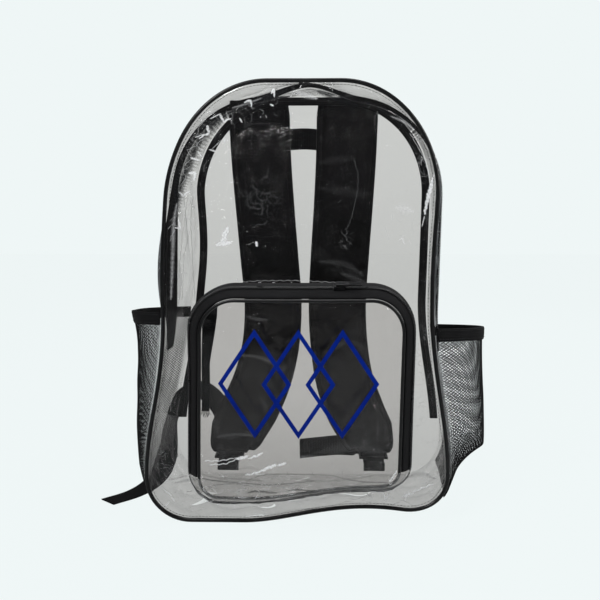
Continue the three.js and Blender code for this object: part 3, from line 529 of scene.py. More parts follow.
# ---- materials ----
class Shading:
    """The nodes of a material or world. An input takes a value or another node's output."""

    def __init__(self, owner):
        owner.use_nodes = True
        self.owner, self.tree = owner, owner.node_tree
        self.tree.nodes.clear()

    def add(self, kind, inputs=None, output=0, **properties):
        made = self.tree.nodes.new("ShaderNode" + kind)
        for key, value in properties.items():
            setattr(made, key, value)
        for key, value in (inputs or {}).items():
            if isinstance(value, bpy.types.NodeSocket):
                self.tree.links.new(value, made.inputs[key])
            else:
                made.inputs[key].default_value = value
        return made.outputs[output] if len(made.outputs) else made

    def maths(self, operation, a, b=None, clamp=False):
        inputs = {0: a} if b is None else {0: a, 1: b}
        return self.add("Math", inputs, operation=operation, use_clamp=clamp)

    def attribute(self, name):
        return self.add("Attribute", output="Fac", attribute_name=name)

    def noise(self, scale, detail, distortion=0.0):
        inputs = {"Vector": self.add("TexCoord", output="Object"), "Scale": scale, "Detail": detail,
                  "Distortion": distortion}
        return self.add("TexNoise", inputs, output="Fac")

    def between(self, value, low, high):
        """From low to high as the value goes from 0 to 1."""
        return self.add("MapRange", {"Value": value, "To Min": low, "To Max": high})

    def tones(self, value, *stops):
        """A colour between two, each given with the value where it is reached."""
        made = self.tree.nodes.new("ShaderNodeValToRGB")
        for stop, (position, colour) in zip(made.color_ramp.elements, stops):
            stop.position = position
            stop.color = (*colour, 1)
        self.tree.links.new(value, made.inputs[0])
        return made.outputs[0]

    def raised(self, height, strength, distance):
        return self.add("Bump", {"Height": height, "Strength": strength, "Distance": distance})

    def weave(self, pitch):
        """The height of a plain weave with its threads along U and V, at pitches in millimetres."""
        waves = []
        for axis, each in enumerate(pitch):
            along = self.add("SeparateXYZ", {0: self.add("TexCoord", output="UV")}, output=axis)
            waves.append(self.maths("SINE", self.maths("MULTIPLY", along, math.pi * 1000 / each)))
        return self.maths("ABSOLUTE", self.maths("MULTIPLY", *waves))

    def finish(self, surface, kind="OutputMaterial"):
        self.add(kind, {"Surface": surface})
        return self.owner


def cloth_material(name, dark, light, rough, pitch, bump, sheen=0.05, depth=0.0004):
    """Woven thread: colour and height follow the weave, with a slow change over the surface."""
    make = Shading(bpy.data.materials.new(name))
    weave, dust = make.weave(pitch), make.noise(38, 6)
    tone = make.add("Math", {0: weave, 1: 0.55, 2: dust}, operation="MULTIPLY_ADD")
    return make.finish(make.add("BsdfPrincipled", {
        "Base Color": make.tones(tone, (0.3, dark), (1.0, light)),
        "Roughness": make.between(dust, rough - 0.12, min(1.0, rough + 0.1)),
        "Specular IOR Level": 0.12,
        "Sheen Weight": sheen,
        "Sheen Roughness": 0.4,
        "Normal": make.raised(weave, bump, depth),
    }))


def solid_material(name, dark, light, rough, metal=0.0, coat=0.0, scale=60, bump=0.12, shine=0.3):
    """Moulded, painted or printed stuff: a slow change of colour and roughness, and a fine grain."""
    make = Shading(bpy.data.materials.new(name))
    slow, grain, spread = make.noise(scale, 5), make.noise(900, 2), 0.12
    return make.finish(make.add("BsdfPrincipled", {
        "Base Color": make.tones(slow, (0.35, dark), (0.7, light)),
        "Roughness": make.between(slow, max(0.02, rough - spread), min(1.0, rough + spread)),
        "Specular IOR Level": shine,
        "Metallic": metal,
        "Coat Weight": coat,
        "Coat Roughness": 0.12,
        "Normal": make.raised(grain, bump, 0.0004),
    }))


def film_material(name, tint, haze, wrinkle, fold):
    """Clear vinyl: glossy by Fresnel, with slow waves, sharp creases, and crease lines whitened as painted
    highlights where the film is marked for them.
    """
    make = Shading(bpy.data.materials.new(name))

    def ramp(value, low, high, to_low, to_high):
        inputs = {"Value": value, "From Min": low, "From Max": high, "To Min": to_low, "To Max": to_high}
        return make.add("MapRange", inputs, interpolation_type="SMOOTHSTEP")

    def crease(noise_, level, width):
        """A crease runs where a noise crosses a level."""
        return ramp(make.maths("ABSOLUTE", make.maths("SUBTRACT", noise_, level)), 0.0, width, 1.0, 0.0)

    first = crease(make.noise(34, 1.5, 1.6), 0.5, 0.016)
    second = crease(make.noise(61, 2.0, 2.4), 0.47, 0.014)
    breaks = ramp(make.noise(75, 2), 0.44, 0.6, 0.0, 1.0)
    lines = make.maths("MULTIPLY", make.maths("MAXIMUM", first, second), breaks)
    # Crease lines are mixed towards a pale diffuse where the crease highlight attribute is high: painted
    # highlights
    highlight_mask = make.maths("MULTIPLY", make.maths("MULTIPLY", lines, make.attribute("crush"), True), 0.3)
    highlight_white = make.add("BsdfPrincipled", {"Base Color": (0.95, 0.96, 0.97, 1), "Roughness": 0.3})
    height = make.maths("ADD", make.noise(24, 2, 0.5), make.maths("MULTIPLY", lines, fold))
    raised = make.raised(height, wrinkle, 0.004)
    gloss = make.add("BsdfGlossy", {"Color": (0.95, 0.96, 0.97, 1), "Roughness": 0.06, "Normal": raised})
    rim = make.add("Fresnel", {"IOR": 1.45, "Normal": raised})
    # Lower down the film's see-through tint is darkened, as the shade attribute says: painted shade
    light = make.maths("SUBTRACT", 1.0, make.attribute("shade"))
    clear = make.add("BsdfTransparent", {
        "Color": make.add("VectorMath", {0: tint, "Scale": light}, operation="SCALE"),
    })
    body = make.add("MixShader", {0: make.maths("ADD", rim, haze, True), 1: clear, 2: gloss})
    return make.finish(make.add("MixShader", {0: highlight_mask, 1: body, 2: highlight_white}))


def mark_material(name, colour):
    """A painted highlight or painted shade on the film, as strong as its vertices say and a little uneven."""
    make = Shading(bpy.data.materials.new(name))
    uneven = make.noise(420, 3)
    patchy = make.add("MapRange", {"Value": uneven, "From Min": 0.3, "From Max": 0.55, "To Min": 0.6})
    body = make.add("BsdfPrincipled", {
        "Base Color": (*colour, 1),
        "Roughness": 0.3,
        "Specular IOR Level": 0.2,
        "Normal": make.raised(uneven, 0.3, 0.0005),
    })
    amount = make.maths("MULTIPLY", make.attribute("amount"), patchy, True)
    return make.finish(make.add("MixShader", {0: amount, 1: make.add("BsdfTransparent"), 2: body}))


FILM_MAT = film_material("clear_vinyl", (0.845, 0.825, 0.815), 0.0, 0.3, 0.2)
FILM_SOFT = film_material("clear_vinyl_crumpled", (0.84, 0.82, 0.81), 0.005, 0.6, 0.4)
FOLDED = film_material("clear_vinyl_fold", (0.42, 0.42, 0.42), 0.06, 0.6, 0.4)


def black(level, blue=0.0):
    """A black of one level, with a touch of blue."""
    return level, level, level + blue


PIPING = solid_material("black_piping_vinyl", black(0.002), black(0.005, 0.001), 0.34, coat=0.2, bump=0.1)
TAPE = cloth_material("black_zipper_tape", black(0.0015, 0.0003), black(0.01, 0.001), 0.8, (0.9, 0.7), 0.5)
BINDING_MAT = cloth_material("black_seam_binding", black(0.0015), black(0.01, 0.001), 0.8, (1.4, 0.8), 0.5)
STRAP = cloth_material("black_strap_cloth", black(0.001), black(0.008, 0.0005), 0.85, (1.1, 1.1), 0.5, 0.03)
WEBBING = cloth_material("black_webbing", black(0.001, 0.0002), black(0.009, 0.001), 0.75, (2.2, 1.3), 0.8,
                         0.03, 0.0006)
NET_THREAD = solid_material("black_net_thread", black(0.003, 0.0005), black(0.014, 0.001), 0.75, bump=0.3,
                            shine=0.15)
THREAD = solid_material("black_thread", black(0.004, 0.0005), black(0.02, 0.002), 0.6, bump=0.3)
TEETH = solid_material("black_nylon_teeth", black(0.003, 0.0005), black(0.01, 0.001), 0.3, bump=0.1,
                       shine=0.5)
METAL = solid_material("black_painted_metal", black(0.004, 0.0005), black(0.02, 0.001), 0.35, metal=0.6,
                       coat=0.2)
PLASTIC = solid_material("black_moulded_plastic", black(0.003), black(0.009, 0.001), 0.38, bump=0.2)
INK = solid_material("blue_print", (0.0, 0.012, 0.2), (0.0, 0.02, 0.28), 0.45, bump=0.1, scale=90, shine=0.1)

# ---- clear film ----
# The camera, which the marks on the film are placed by
EYE, AIM = np.array((20.0, -825.0, 300.0)), np.array((2.0, 0.0, 215.0))
PICTURE, FOCAL = 600, 781.0  # pixels
AHEAD = (AIM - EYE) / np.linalg.norm(AIM - EYE)
RIGHT = np.cross(AHEAD, (0, 0, 1))
RIGHT /= np.linalg.norm(RIGHT)
ABOVE = np.cross(RIGHT, AHEAD)

# Marks as they are seen in a picture PICTURE pixels square from the camera, mostly painted highlights with
# some whitened creases among them, scratch lines, and painted shade of dark folds: strength, edges, and a
# line of places x, y and half width, MARK_HALF where none is given
SHARP, SOFT = False, True
PAINTED_HIGHLIGHTS_AND_CREASES = {
    "film_front": [
        (1.0, SHARP, [(215.5, 244.8, 1.2), (222, 243.6, 3.2), (232, 243, 1.6)]),
        (1.0, SHARP, [(222.5, 243.5, 3.0), (225.5, 233, 3.2), (228.5, 226.5, 1.4)]),
        (1.0, SHARP, [(256.2, 241.2, 1.5), (257, 246.6, 1.6)]),
        (0.1, SHARP, [(354.2, 158.8, 0.3), (355.7, 166, 0.3), (358.3, 173.6, 0.3), (357.9, 188.4, 0.3),
            (355, 203, 0.3), (351.4, 218, 0.3), (347.7, 227.2, 0.3)]),
        (0.1, SHARP, [(347.7, 227.2), (345.5, 229.5), (347.5, 233), (344, 236)]),
        (0.09, SHARP, [(341.2, 230.9), (345, 236.5), (348.6, 242), (352.3, 244.8)]),
        (0.1, SOFT, [(342.2, 244.8, 0.8), (344.5, 246, 1.4), (346.8, 249.4, 0.8)]),
        (0.06, SHARP, [(244, 128), (249, 124.6), (256, 123.6), (269, 123.6), (271, 129.2), (274.7, 134.7),
            (280, 138)]),
        (0.3, SOFT, [(177, 203, 1.2), (174, 222, 2.4), (173, 250, 2.6), (171, 300, 1.6)]),
        (0.9, SHARP, [(244, 102.4, 0.8), (250.6, 100.5, 1.6), (251.5, 107, 0.6)]),
        (0.9, SHARP, [(271, 94, 0.8), (273.7, 89.4, 1.4), (274.7, 97.7, 0.7)]),
        (0.9, SHARP, [(220, 114.4, 1.8), (223.8, 121.8, 1.0), (231.2, 118, 0.7)]),
        (0.8, SHARP, [(210, 119, 0.8), (221, 113.5, 0.5)]),
        (0.9, SHARP, [(207.2, 125.5, 1.8), (209, 132.9, 1.4), (198.8, 138.4, 0.7)]),
        (0.7, SHARP, [(195, 137.5, 0.6), (205.3, 133.8, 0.6)]),
        (0.3, SHARP, [(197, 136.6), (198.8, 127.3), (206.2, 118)]),
        (0.4, SOFT, [(293.2, 91.3, 1.0), (305, 95, 4.0), (318, 99, 1.5)]),
        (0.9, SHARP, [(270, 104.2, 1.0), (273.7, 106, 1.0)]),
        (0.9, SHARP, [(190.5, 157.8, 1.2), (199.8, 160.6, 1.0)]),
        (0.8, SHARP, [(197.9, 151.4, 0.8), (201.6, 156.9, 0.8)]),
        (0.95, SHARP, [(188.7, 173.6, 1.4), (195, 172.6, 1.8), (194.2, 181, 1.4)]),
        (0.7, SHARP, [(178.5, 192, 0.7), (184, 195.8, 1.2), (189.6, 190.2, 0.7)]),
        (0.7, SHARP, [(174.8, 227.2, 0.6), (180.3, 229, 1.4), (178.5, 218, 0.6)]),
        (0.8, SHARP, [(239.5, 118, 0.8), (242.3, 122.7, 0.8)]),
        (0.8, SHARP, [(223.8, 138.4, 1.0), (224.7, 142, 1.0)]),
        (0.7, SHARP, [(209, 149.5, 0.6), (215.5, 151.4, 1.4)]),
        (0.4, SHARP, [(221, 140.3, 0.5), (211.8, 149.5, 0.5)]),
        (0.5, SHARP, [(409.7, 132.9, 0.3), (424.5, 158.8, 0.3), (430, 179, 0.3)]),
        (0.4, SHARP, [(420.8, 127.3, 0.3), (432.8, 151.4, 0.3), (437, 164, 0.3)]),
        (0.95, SHARP, [(434, 174, 0.6), (430.5, 188, 2.4), (427, 201, 2.0), (424.5, 214.3, 1.2)]),
        (0.7, SHARP, [(424.5, 216, 0.7), (421.7, 227, 0.5)]),
        (0.3, SOFT, [(390, 116, 1.0), (404, 122, 2.0), (414, 130, 1.0)]),
        (0.25, SOFT, [(232, 108, 1.0), (246, 104, 1.5), (262, 98, 1.0)]),
        (0.35, SHARP, [(185, 165, 0.3), (192, 158, 0.3), (187, 150, 0.3), (196, 146, 0.3), (203, 138, 0.3)]),
        (0.3, SHARP, [(181, 185, 0.3), (186, 178, 0.3), (183, 170, 0.3), (190, 167, 0.3)]),
        (0.3, SOFT, [(395, 207, 1.5), (404, 209, 6.5), (414, 212, 1.5)]),
        (0.25, SHARP, [(393, 212.4), (392, 221.7)]),
        (0.2, SHARP, [(384.7, 225.4), (389.3, 240)]),
        (0.5, SHARP, [(398.6, 242), (402.3, 236.5), (404, 243.9, 0.8)]),
        (0.4, SHARP, [(408.8, 240), (410.6, 243.9)]),
        (0.9, SHARP, [(255.3, 283.2, 0.6), (259, 283.5, 1.4), (263.3, 283.9, 0.7)]),
        (0.9, SHARP, [(271.4, 284.5, 0.8), (274, 283.2, 1.3), (276.5, 284.7, 0.7)]),
        (0.8, SHARP, [(291.2, 282.5, 0.7), (294, 283.8, 1.2), (295.6, 284.7, 0.4)]),
        (0.9, SHARP, [(300, 284, 0.7), (305, 284.2, 0.9), (310.3, 284.4, 0.6)]),
        (0.6, SHARP, [(281, 283.5, 0.5), (285.3, 284, 0.5)]),
        (0.35, SHARP, [(242.8, 281.7), (263.3, 280.6), (298.5, 280.6), (336.7, 282.4), (366, 284.4)]),
        (0.6, SHARP, [(220.8, 278.8), (220.8, 281.7)]),
        (0.8, SHARP, [(237, 278, 0.6), (237.7, 282.5, 0.6)]),
        (0.6, SHARP, [(232.5, 283.2, 0.5), (241.3, 283.9, 0.5)]),
        (0.05, SOFT, [(340, 273, 1.5), (354, 278, 4.0), (366, 283, 1.5)]),
        (0.03, SOFT, [(318, 261.3, 1.5), (345, 264.2, 4.5), (364, 276, 1.5)]),
        (0.015, SOFT, [(318, 163, 2.0), (336, 160, 6.0), (356, 158, 2.0)]),
        (0.015, SOFT, [(318, 187.4, 2.0), (345, 192, 6.0), (372, 194, 2.0)]),
        (0.95, SHARP, [(240, 489, 0.8), (248, 488, 0.8)]),
        (0.8, SHARP, [(250.3, 486.7, 0.7), (254.7, 485.8, 0.5)]),
        (0.95, SHARP, [(269.5, 486.3, 0.7), (274.8, 485.8, 1.2), (280.2, 484, 0.6)]),
        (0.7, SHARP, [(273, 486.7, 0.5), (289, 487.9, 0.5)]),
        (0.95, SHARP, [(298.5, 488.5, 0.9), (301.2, 488.3, 1.6)]),
        (0.9, SHARP, [(256.5, 489.8, 0.7), (260, 491.6, 0.7)]),
        (1.0, SHARP, [(208, 487, 1.1), (211, 487.6, 1.2)]),
        (0.6, SHARP, [(324, 488.5, 0.6), (328.4, 488, 0.6)]),
        (0.7, SHARP, [(406, 454.5, 0.5), (408.5, 449.5, 0.5)]),
        (0.6, SHARP, [(406.4, 461.2, 0.6), (408.2, 462, 0.6)]),
        (0.9, SHARP, [(367, 494.7, 0.8), (372.5, 496, 1.5)]),
        (0.9, SHARP, [(383.2, 493.8, 1.2), (386, 500.5, 0.8)]),
        (0.9, SHARP, [(386, 500.5, 0.7), (387.7, 493.8, 0.9)]),
        (0.7, SHARP, [(391.2, 498.3, 0.9), (392.2, 498.3, 0.9)]),
        (0.9, SHARP, [(402.9, 496, 1.6), (405.5, 496, 2.2), (415.4, 490.7, 1.0), (433.2, 483.6, 0.5)]),
        (0.6, SHARP, [(404.6, 500.5), (408, 496, 0.5)]),
        (0.8, SHARP, [(392.4, 506.6, 0.9), (393.6, 507, 0.9)]),
        (0.8, SHARP, [(411.2, 508.6, 0.9), (412.4, 509.4, 0.9)]),
        (0.75, SHARP, [(164, 489.5, 0.6), (171.3, 495.4, 0.6), (174.3, 501.2, 0.6)]),
        (0.7, SHARP, [(164, 507, 0.6), (170, 501.2, 0.6)]),
        (0.3, SOFT, [(200, 493, 1.5), (206, 499, 3.0), (214, 501, 1.5)]),
    ],
    "film_pocket_face": [
        (0.8, SHARP, [(204.7, 460.8, 0.8), (210, 460.8, 0.6), (218.5, 460.8, 0.6), (227.5, 459.5, 0.6),
            (233.7, 457.9, 0.6)]),
        (0.8, SHARP, [(209.2, 464.4, 0.6), (216.8, 464.4, 0.6), (225.7, 463.8, 0.6), (232, 461.3, 0.6),
            (236.4, 458.6, 0.6)]),
        (1.0, SHARP, [(234.6, 458, 0.8), (240, 458.3, 2.1), (248, 456, 1.4)]),
        (1.0, SHARP, [(248, 458.4, 0.6), (256, 456, 1.6), (263.2, 452.8, 1.0)]),
        (1.0, SHARP, [(245.4, 475, 1.1), (252.5, 473.7, 0.9), (261.4, 471, 1.3), (268.6, 467.5, 1.9),
            (276.6, 465, 1.8)]),
        (1.0, SHARP, [(277.5, 465.5, 1.4), (286.4, 462.8, 1.6)]),
        (0.6, SHARP, [(252.5, 474.7, 0.5), (265, 473.8, 0.5)]),
        (1.0, SHARP, [(389, 481.8, 0.9), (393, 476.5, 0.6), (397, 470.2, 0.8)]),
        (1.0, SHARP, [(264.8, 292.7, 0.5), (278, 294.2, 0.8), (292.7, 295.7, 0.9), (307.4, 295.2, 0.8),
            (317.6, 294.9, 0.5)]),
        (0.5, SHARP, [(373.4, 292, 0.3), (388, 297, 0.3), (402.7, 304.5, 0.3)]),
        (0.6, SHARP, [(208.6, 472.9, 0.9), (209.4, 472.9, 0.9)]),
        (0.6, SHARP, [(222, 476.4, 0.9), (224, 476.4, 0.9)]),
        (0.05, SOFT, [(244, 315.4, 1.0), (256, 319, 2.6), (269, 320, 1.0)]),
        (0.06, SOFT, [(241, 355, 1.2), (262, 358, 3.0), (284, 371, 2.6)]),
        (0.05, SOFT, [(259, 396, 1.2), (265, 405, 2.0), (270.6, 413.8, 1.2)]),
        (0.06, SOFT, [(219, 436, 1.5), (236, 434.6, 3.0), (254, 435.2, 1.5)]),
        (0.03, SOFT, [(326, 352, 2.0), (350, 342, 5.0), (370, 352, 2.0)]),
        (0.04, SOFT, [(318, 452, 2.0), (350, 447, 6.0), (386, 452, 2.0)]),
        (0.12, SHARP, [(377.9, 425), (377, 440.7)]),
        (0.3, SHARP, [(373.4, 449.6, 0.9), (374.2, 449.6, 0.9)]),
        (0.12, SOFT, [(300, 457, 2.0), (313, 458, 4.0), (326, 458, 2.0)]),
    ],
    "film_pocket_foot": [
        (0.3, SOFT, [(300, 484.5, 1.0), (318, 483, 1.8), (338, 486, 1.0)]),
        (0.3, SOFT, [(216, 488, 1.0), (230, 489, 2.4), (240, 488, 1.0)]),
    ],
    "film_base_and_sides": [
        (0.75, SHARP, [(167, 480.7, 0.5), (178.7, 477.8, 0.8), (187.5, 475.5, 1.0)]),
        (0.95, SHARP, [(178.4, 382.4, 1.8), (180.4, 382.4, 1.8)]),
        (0.7, SHARP, [(437, 471, 0.8), (438.6, 474.5, 1.4)]),
    ],
}
# Dark strips are painted shade: shadows of folds, and a broad dark band painted on the front film along the
# crown's arch
PAINTED_FOLD_SHADE = {
    "film_front": [
        (0.35, SHARP, [(187.7, 197.6, 0.3), (182.2, 236.5, 0.3), (176.6, 300, 0.3)]),
        (0.35, SHARP, [(193.3, 195.8, 0.3), (190.5, 218, 0.3), (192.4, 255, 0.3), (195, 300, 0.3)]),
        (0.3, SHARP, [(190.5, 229, 0.3), (184, 255, 0.3), (182.2, 300, 0.3)]),
        (0.85, SOFT, [(247, 493, 0.8), (256, 491.2, 1.2), (270.4, 492.5, 1.3), (277.5, 493, 0.8)]),
        (0.85, SOFT, [(288.2, 490.7, 0.8), (297, 489.8, 1.2), (316, 491.2, 0.9)]),
        (0.7, SOFT, [(331.4, 489, 0.8), (354.6, 487.6, 1.4), (381.4, 485.4, 1.4), (394.8, 483.6, 0.8)]),
        (0.6, SOFT, [(201.6, 478.2, 0.8), (216.8, 480.9, 1.0), (240, 482.7, 1.0), (266.8, 484.9, 0.9),
            (288.2, 483.6, 0.8), (315, 480.9, 0.7)]),
        (0.4, SOFT, [(212.3, 485.4, 0.8), (234.6, 483.6, 1.0), (250, 486, 0.8)]),
        (0.3, SOFT, [(175, 483, 1.0), (188, 480, 2.5), (201, 479, 1.0)]),
        (0.25, SHARP, [(330, 506, 0.3), (352, 500, 0.3), (366, 497, 0.3)]),
        (0.25, SHARP, [(392, 505, 0.3), (403, 500, 0.3), (416, 507, 0.3)]),
        (0.25, SOFT, [(404, 478, 1.0), (420, 474, 3.5), (436, 479, 1.0)]),
        (1.0, SOFT, [(230, 112, 4.0), (219, 119, 6.5), (207, 131, 7.5), (197, 146, 7.5), (190, 161, 8.0),
            (184, 176, 7.0), (180, 190, 5.5), (177, 206, 4.5), (174, 230, 1.5)]),
        (0.8, SOFT, [(226, 115, 2.0), (215, 122, 4.0), (203, 135, 4.5), (193, 151, 4.5), (187, 167, 4.5),
            (181, 184, 3.0), (177, 200, 1.5)]),
        (1.0, SOFT, [(240, 106, 3.0), (256, 101, 5.5), (272, 96, 5.5), (288, 90, 2.5)]),
        (0.9, SOFT, [(317, 91, 2.5), (330, 96, 5.0), (344, 101, 4.0), (358, 106, 2.5)]),
        (0.9, SOFT, [(376, 108, 1.5), (396, 116, 4.0), (413, 131, 6.0), (424, 149, 6.0), (431, 165, 3.5),
            (436, 178, 1.0)]),
    ],
    "film_pocket_face": [
        (0.4, SOFT, [(247, 480.4, 0.6), (261.4, 475.5, 0.8), (279.3, 474.2, 0.8), (313.2, 474.6, 0.7)]),
        (0.4, SOFT, [(310, 474.6, 0.7), (331.4, 475.5, 0.8), (345.7, 479, 0.9), (363.6, 481.8, 0.9),
            (388.6, 482.7, 0.7)]),
        (0.25, SOFT, [(201.6, 474, 1.0), (216.8, 478, 2.0), (240, 479, 2.0), (262, 481, 1.0)]),
        (0.2, SOFT, [(290, 478, 0.8), (320, 481, 1.4), (352, 479, 1.4), (372, 476, 0.8)]),
        (0.15, SOFT, [(232, 470, 1.0), (252, 468, 2.0), (268, 474, 1.0)]),
    ],
}
# Places in the camera's picture where the films' crease lines are painted as highlights
CREASE_HIGHLIGHT_SPOTS = [  # x, y, reach x, reach y, strength
    (404, 214, 14, 26, 0.6), (230, 440, 30, 16, 0.4), (370, 440, 26, 20, 0.4), (215, 125, 40, 22, 0.9),
    (190, 165, 12, 40, 0.8), (425, 170, 14, 60, 0.8), (300, 474, 110, 10, 1.0), (300, 490, 110, 8, 1.0),
    (172, 492, 20, 18, 0.8), (428, 484, 20, 22, 0.9), (160, 400, 10, 60, 0.6), (425, 370, 16, 80, 0.6),
    (300, 90, 40, 8, 0.8),
]


def project(points):
    """Where the camera sees points, in pixels from the left and the top."""
    away = points - EYE
    far = away @ AHEAD
    return PICTURE / 2 + FOCAL * (away @ RIGHT) / far, PICTURE / 2 - FOCAL * (away @ ABOVE) / far


def crease_highlight_marks(points):
    """How strongly crease lines are painted as highlights at points."""
    x, y = project(points)
    total = np.zeros(x.shape)
    for cx, cy, rx, ry, strength in CREASE_HIGHLIGHT_SPOTS:
        total = np.maximum(total, strength * np.exp(-(((x - cx) / rx) ** 2) - ((y - cy) / ry) ** 2))
    return total


def scratch_and_glint_lines(middle, reach, count, strength, seed, length):
    """Fine broken lines round a place, each wandering mostly downwards: partly scratch marks, partly painted
    glints on crinkles.
    """
    chance = np.random.default_rng(seed)
    rows = []
    for _ in range(count):
        spot = np.array(middle) + chance.uniform(-1, 1, 2) * reach
        path, heading = [(*spot, 0.25)], chance.uniform(-0.6, 0.6) + (math.pi if chance.random() < 0.2 else 0)
        for _ in range(chance.integers(3, 7)):
            heading += chance.uniform(-1.1, 1.1)
            way = np.array((math.sin(heading), math.cos(heading)))
            spot = spot + way * chance.uniform(0.15, 0.4) * length
            path.append((*spot, chance.uniform(0.18, 0.4)))
        rows.append((strength * chance.uniform(0.4, 1.2), SHARP, path))
    return rows


MARK_HALF, MARK_LEAST, MARK_STEP = 0.4, 0.25, 0.8  # pixels
MARK_BREAK = 12.0  # a mark isn't carried over a longer gap
MARK_ACROSS = (-1.0, -0.55, 0.0, 0.55, 1.0)


def wavering(path, shares):
    """A mark's line between its places, never quite straight."""
    run = travelled(path[:, :2])
    far = shares * run[-1]
    line = np.stack([np.interp(far, run, path[:, k]) for k in range(3)], axis=1)
    line[:, 0] += 0.5 * np.sin(far * 1.1 + path[0, 0]) * np.sin(far * 0.37)
    line[:, 1] += 0.4 * np.sin(far * 0.83 + path[0, 1])
    return line


def mark_row(tree, places, off):
    """The points of a film that the camera sees at places in its picture, each a little off the film."""
    row = []
    for x, y in places:
        ray = Vector(AHEAD + RIGHT * (x - PICTURE / 2) / FOCAL + ABOVE * (PICTURE / 2 - y) / FOCAL)
        hit, facing, _, _ = tree.ray_cast(Vector(EYE), ray)
        if hit is None:
            return None
        row.append(np.array(hit + facing * (-1.0 if facing.dot(ray) > 0 else 1.0) * off))
    return row


def streaks(name, film_name, rows, material, off):
    """Thin marks that lie on a film, each where the camera sees it."""
    tree = FILMS[film_name]
    points, faces, amounts = [], [], []
    for strength, soft, path in rows:
        path = np.array([p if len(p) == 3 else (*p, MARK_HALF) for p in path], float)
        count = max(3, int(np.linalg.norm(np.diff(path[:, :2], axis=0), axis=1).sum() / MARK_STEP))
        shares = np.linspace(0, 1, count + 1)
        if len(path) == 2:
            line = lerp(path[0], path[1], shares[:, None])
        else:
            line = catmull(path, shares) if soft else wavering(path, shares)
        along = unit(np.gradient(line[:, :2], axis=0))
        side = np.stack([-along[:, 1], along[:, 0]], axis=1)
        flank = 0.5 * strength if soft else strength
        last = None
        for k, (x, y, half) in enumerate(line):
            taper = min(1.0, (min(k, count - k) + 0.5) / 2)
            reach = max(MARK_LEAST, half * taper * (1 + 0.25 * math.sin(1.7 * k + x)))
            row = mark_row(tree, [(x, y) + side[k] * share * reach for share in MARK_ACROSS], off)
            if row is None:
                last = None
                continue
            here = len(points)
            points += row
            amounts += [0.0, flank, strength, flank, 0.0]
            if last is not None and np.linalg.norm(points[last + 2] - row[2]) < MARK_BREAK:
                faces += [[last + q, last + q + 1, here + q + 1, here + q] for q in range(4)]
            last = here
    if not faces:
        return
    points, faces, used = used_only(points, faces)
    made = mesh(name, points, faces, material, attributes={"amount": np.array(amounts)[used]})


def refined(grid):
    """The grid with twice as many steps each way."""
    for axis in (0, 1):
        n = grid.shape[axis]
        spots = np.linspace(0, n - 1, 2 * n - 1)
        low = np.minimum(spots.astype(int), n - 2)
        share = (spots - low).reshape([-1 if k == axis else 1 for k in range(3)])
        grid = np.take(grid, low, axis) * (1 - share) + np.take(grid, low + 1, axis) * share
    return grid


FILMS = {}
SEWN_ROWS, SEWN_COLUMNS = 16, 10  # how many steps from its edge a film is held flat


def film(name, grid, replaced, material, wave, fold, ridge, shade=((0, 0.0), (1, 0.0))):
    """A sheet of vinyl with slow waves and narrow folds that die out where it is sewn.

    Ridge is how large the folds are along each axis, and shade gives heights and how far the see-through tint
    is darkened there as painted shade.
    """
    grid = refined(grid)
    rows, columns = grid.shape[:2]
    i = np.minimum(np.arange(rows), np.arange(rows)[::-1])[:, None] / SEWN_ROWS
    j = np.minimum(np.arange(columns), np.arange(columns)[::-1])[None, :] / SEWN_COLUMNS
    free = np.clip(np.minimum(i, j), 0, 1)
    n = outward(grid)
    waves = wave * field(grid, (70, 70, 70), 3.1)
    folds = fold * (1 - 2 * np.abs(field(grid, ridge, 11.7))) ** 3
    moved = grid + n * ((waves + folds - 0.4 * fold) * free)[..., None]
    # Per vertex: how strongly crease lines are painted as highlights, and how far the tint is darkened as
    # painted shade
    marks = {"crush": crease_highlight_marks(moved), "shade": np.interp(moved[..., 2], *zip(*shade))}
    faces = grid_faces(rows, columns)
    made = mesh(name, moved, faces, material, lengths(grid), marks)
    FILMS[name] = BVHTree.FromPolygons([Vector(p) for p in moved.reshape(-1, 3)], faces)
    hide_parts(replaced)


def front_face(x, z):
    return np.stack([x, FRONT_Y - front_swell(x, z), z], axis=-1)


def back_face(x, z):
    return np.stack([x + BACK_SHIFT, np.full_like(x, BACK_Y - FILM / 2), z], axis=-1)


def pocket_face(x, z):
    return np.stack([x + POCKET["shift"], pocket_face_y(x, z), z], axis=-1)


INSET = 2 * PIPING_R + 2 * GAP
TAPE_FROM, TAPE_TO = ZIP_CENTRE - ZIP_WIDTH / 2, ZIP_CENTRE + ZIP_WIDTH / 2
WALL_FROM, WALL_TO = FRONT_Y + PIPING_R, BACK_Y - FILM / 2
# Each film's shade list darkens it towards the bottom: painted shade
film("film_front", panel(front, INSET - 1.5, front_face), "front_panel", FILM_MAT, wave=2.0, fold=0.5,
     ridge=(60, 60, 60), shade=[(0, 0.08), (60, 0.1), (130, 0.06), (230, 0.04), (330, 0.0)])
film("film_back", panel(rear, 0.3, back_face, columns=40), "back_panel", FILM_MAT, wave=1.0, fold=0.2,
     ridge=(80, 80, 80), shade=[(20, 0.12), (90, 0.09), (200, 0.06), (300, 0.04), (400, 0.0)])
film("film_base_and_sides", wall_band("under", WALL_FROM, WALL_TO, 60, -FILM / 2), "base_and_side_wall",
     FILM_SOFT, wave=1.2, fold=1.6, ridge=(30, 40, 90), shade=[(0, 0.14), (80, 0.1), (300, 0.05)])
film("film_crown_front", wall_band("over", WALL_FROM, TAPE_FROM + 2, 26, -FILM / 2), "crown_wall_front",
     FILM_SOFT, wave=0.8, fold=1.0, ridge=(26, 40, 60))
film("film_crown_back", wall_band("over", TAPE_TO - 2, WALL_TO, 40, -FILM / 2), "crown_wall_back",
     FILM_SOFT, wave=1.2, fold=1.6, ridge=(24, 60, 90))
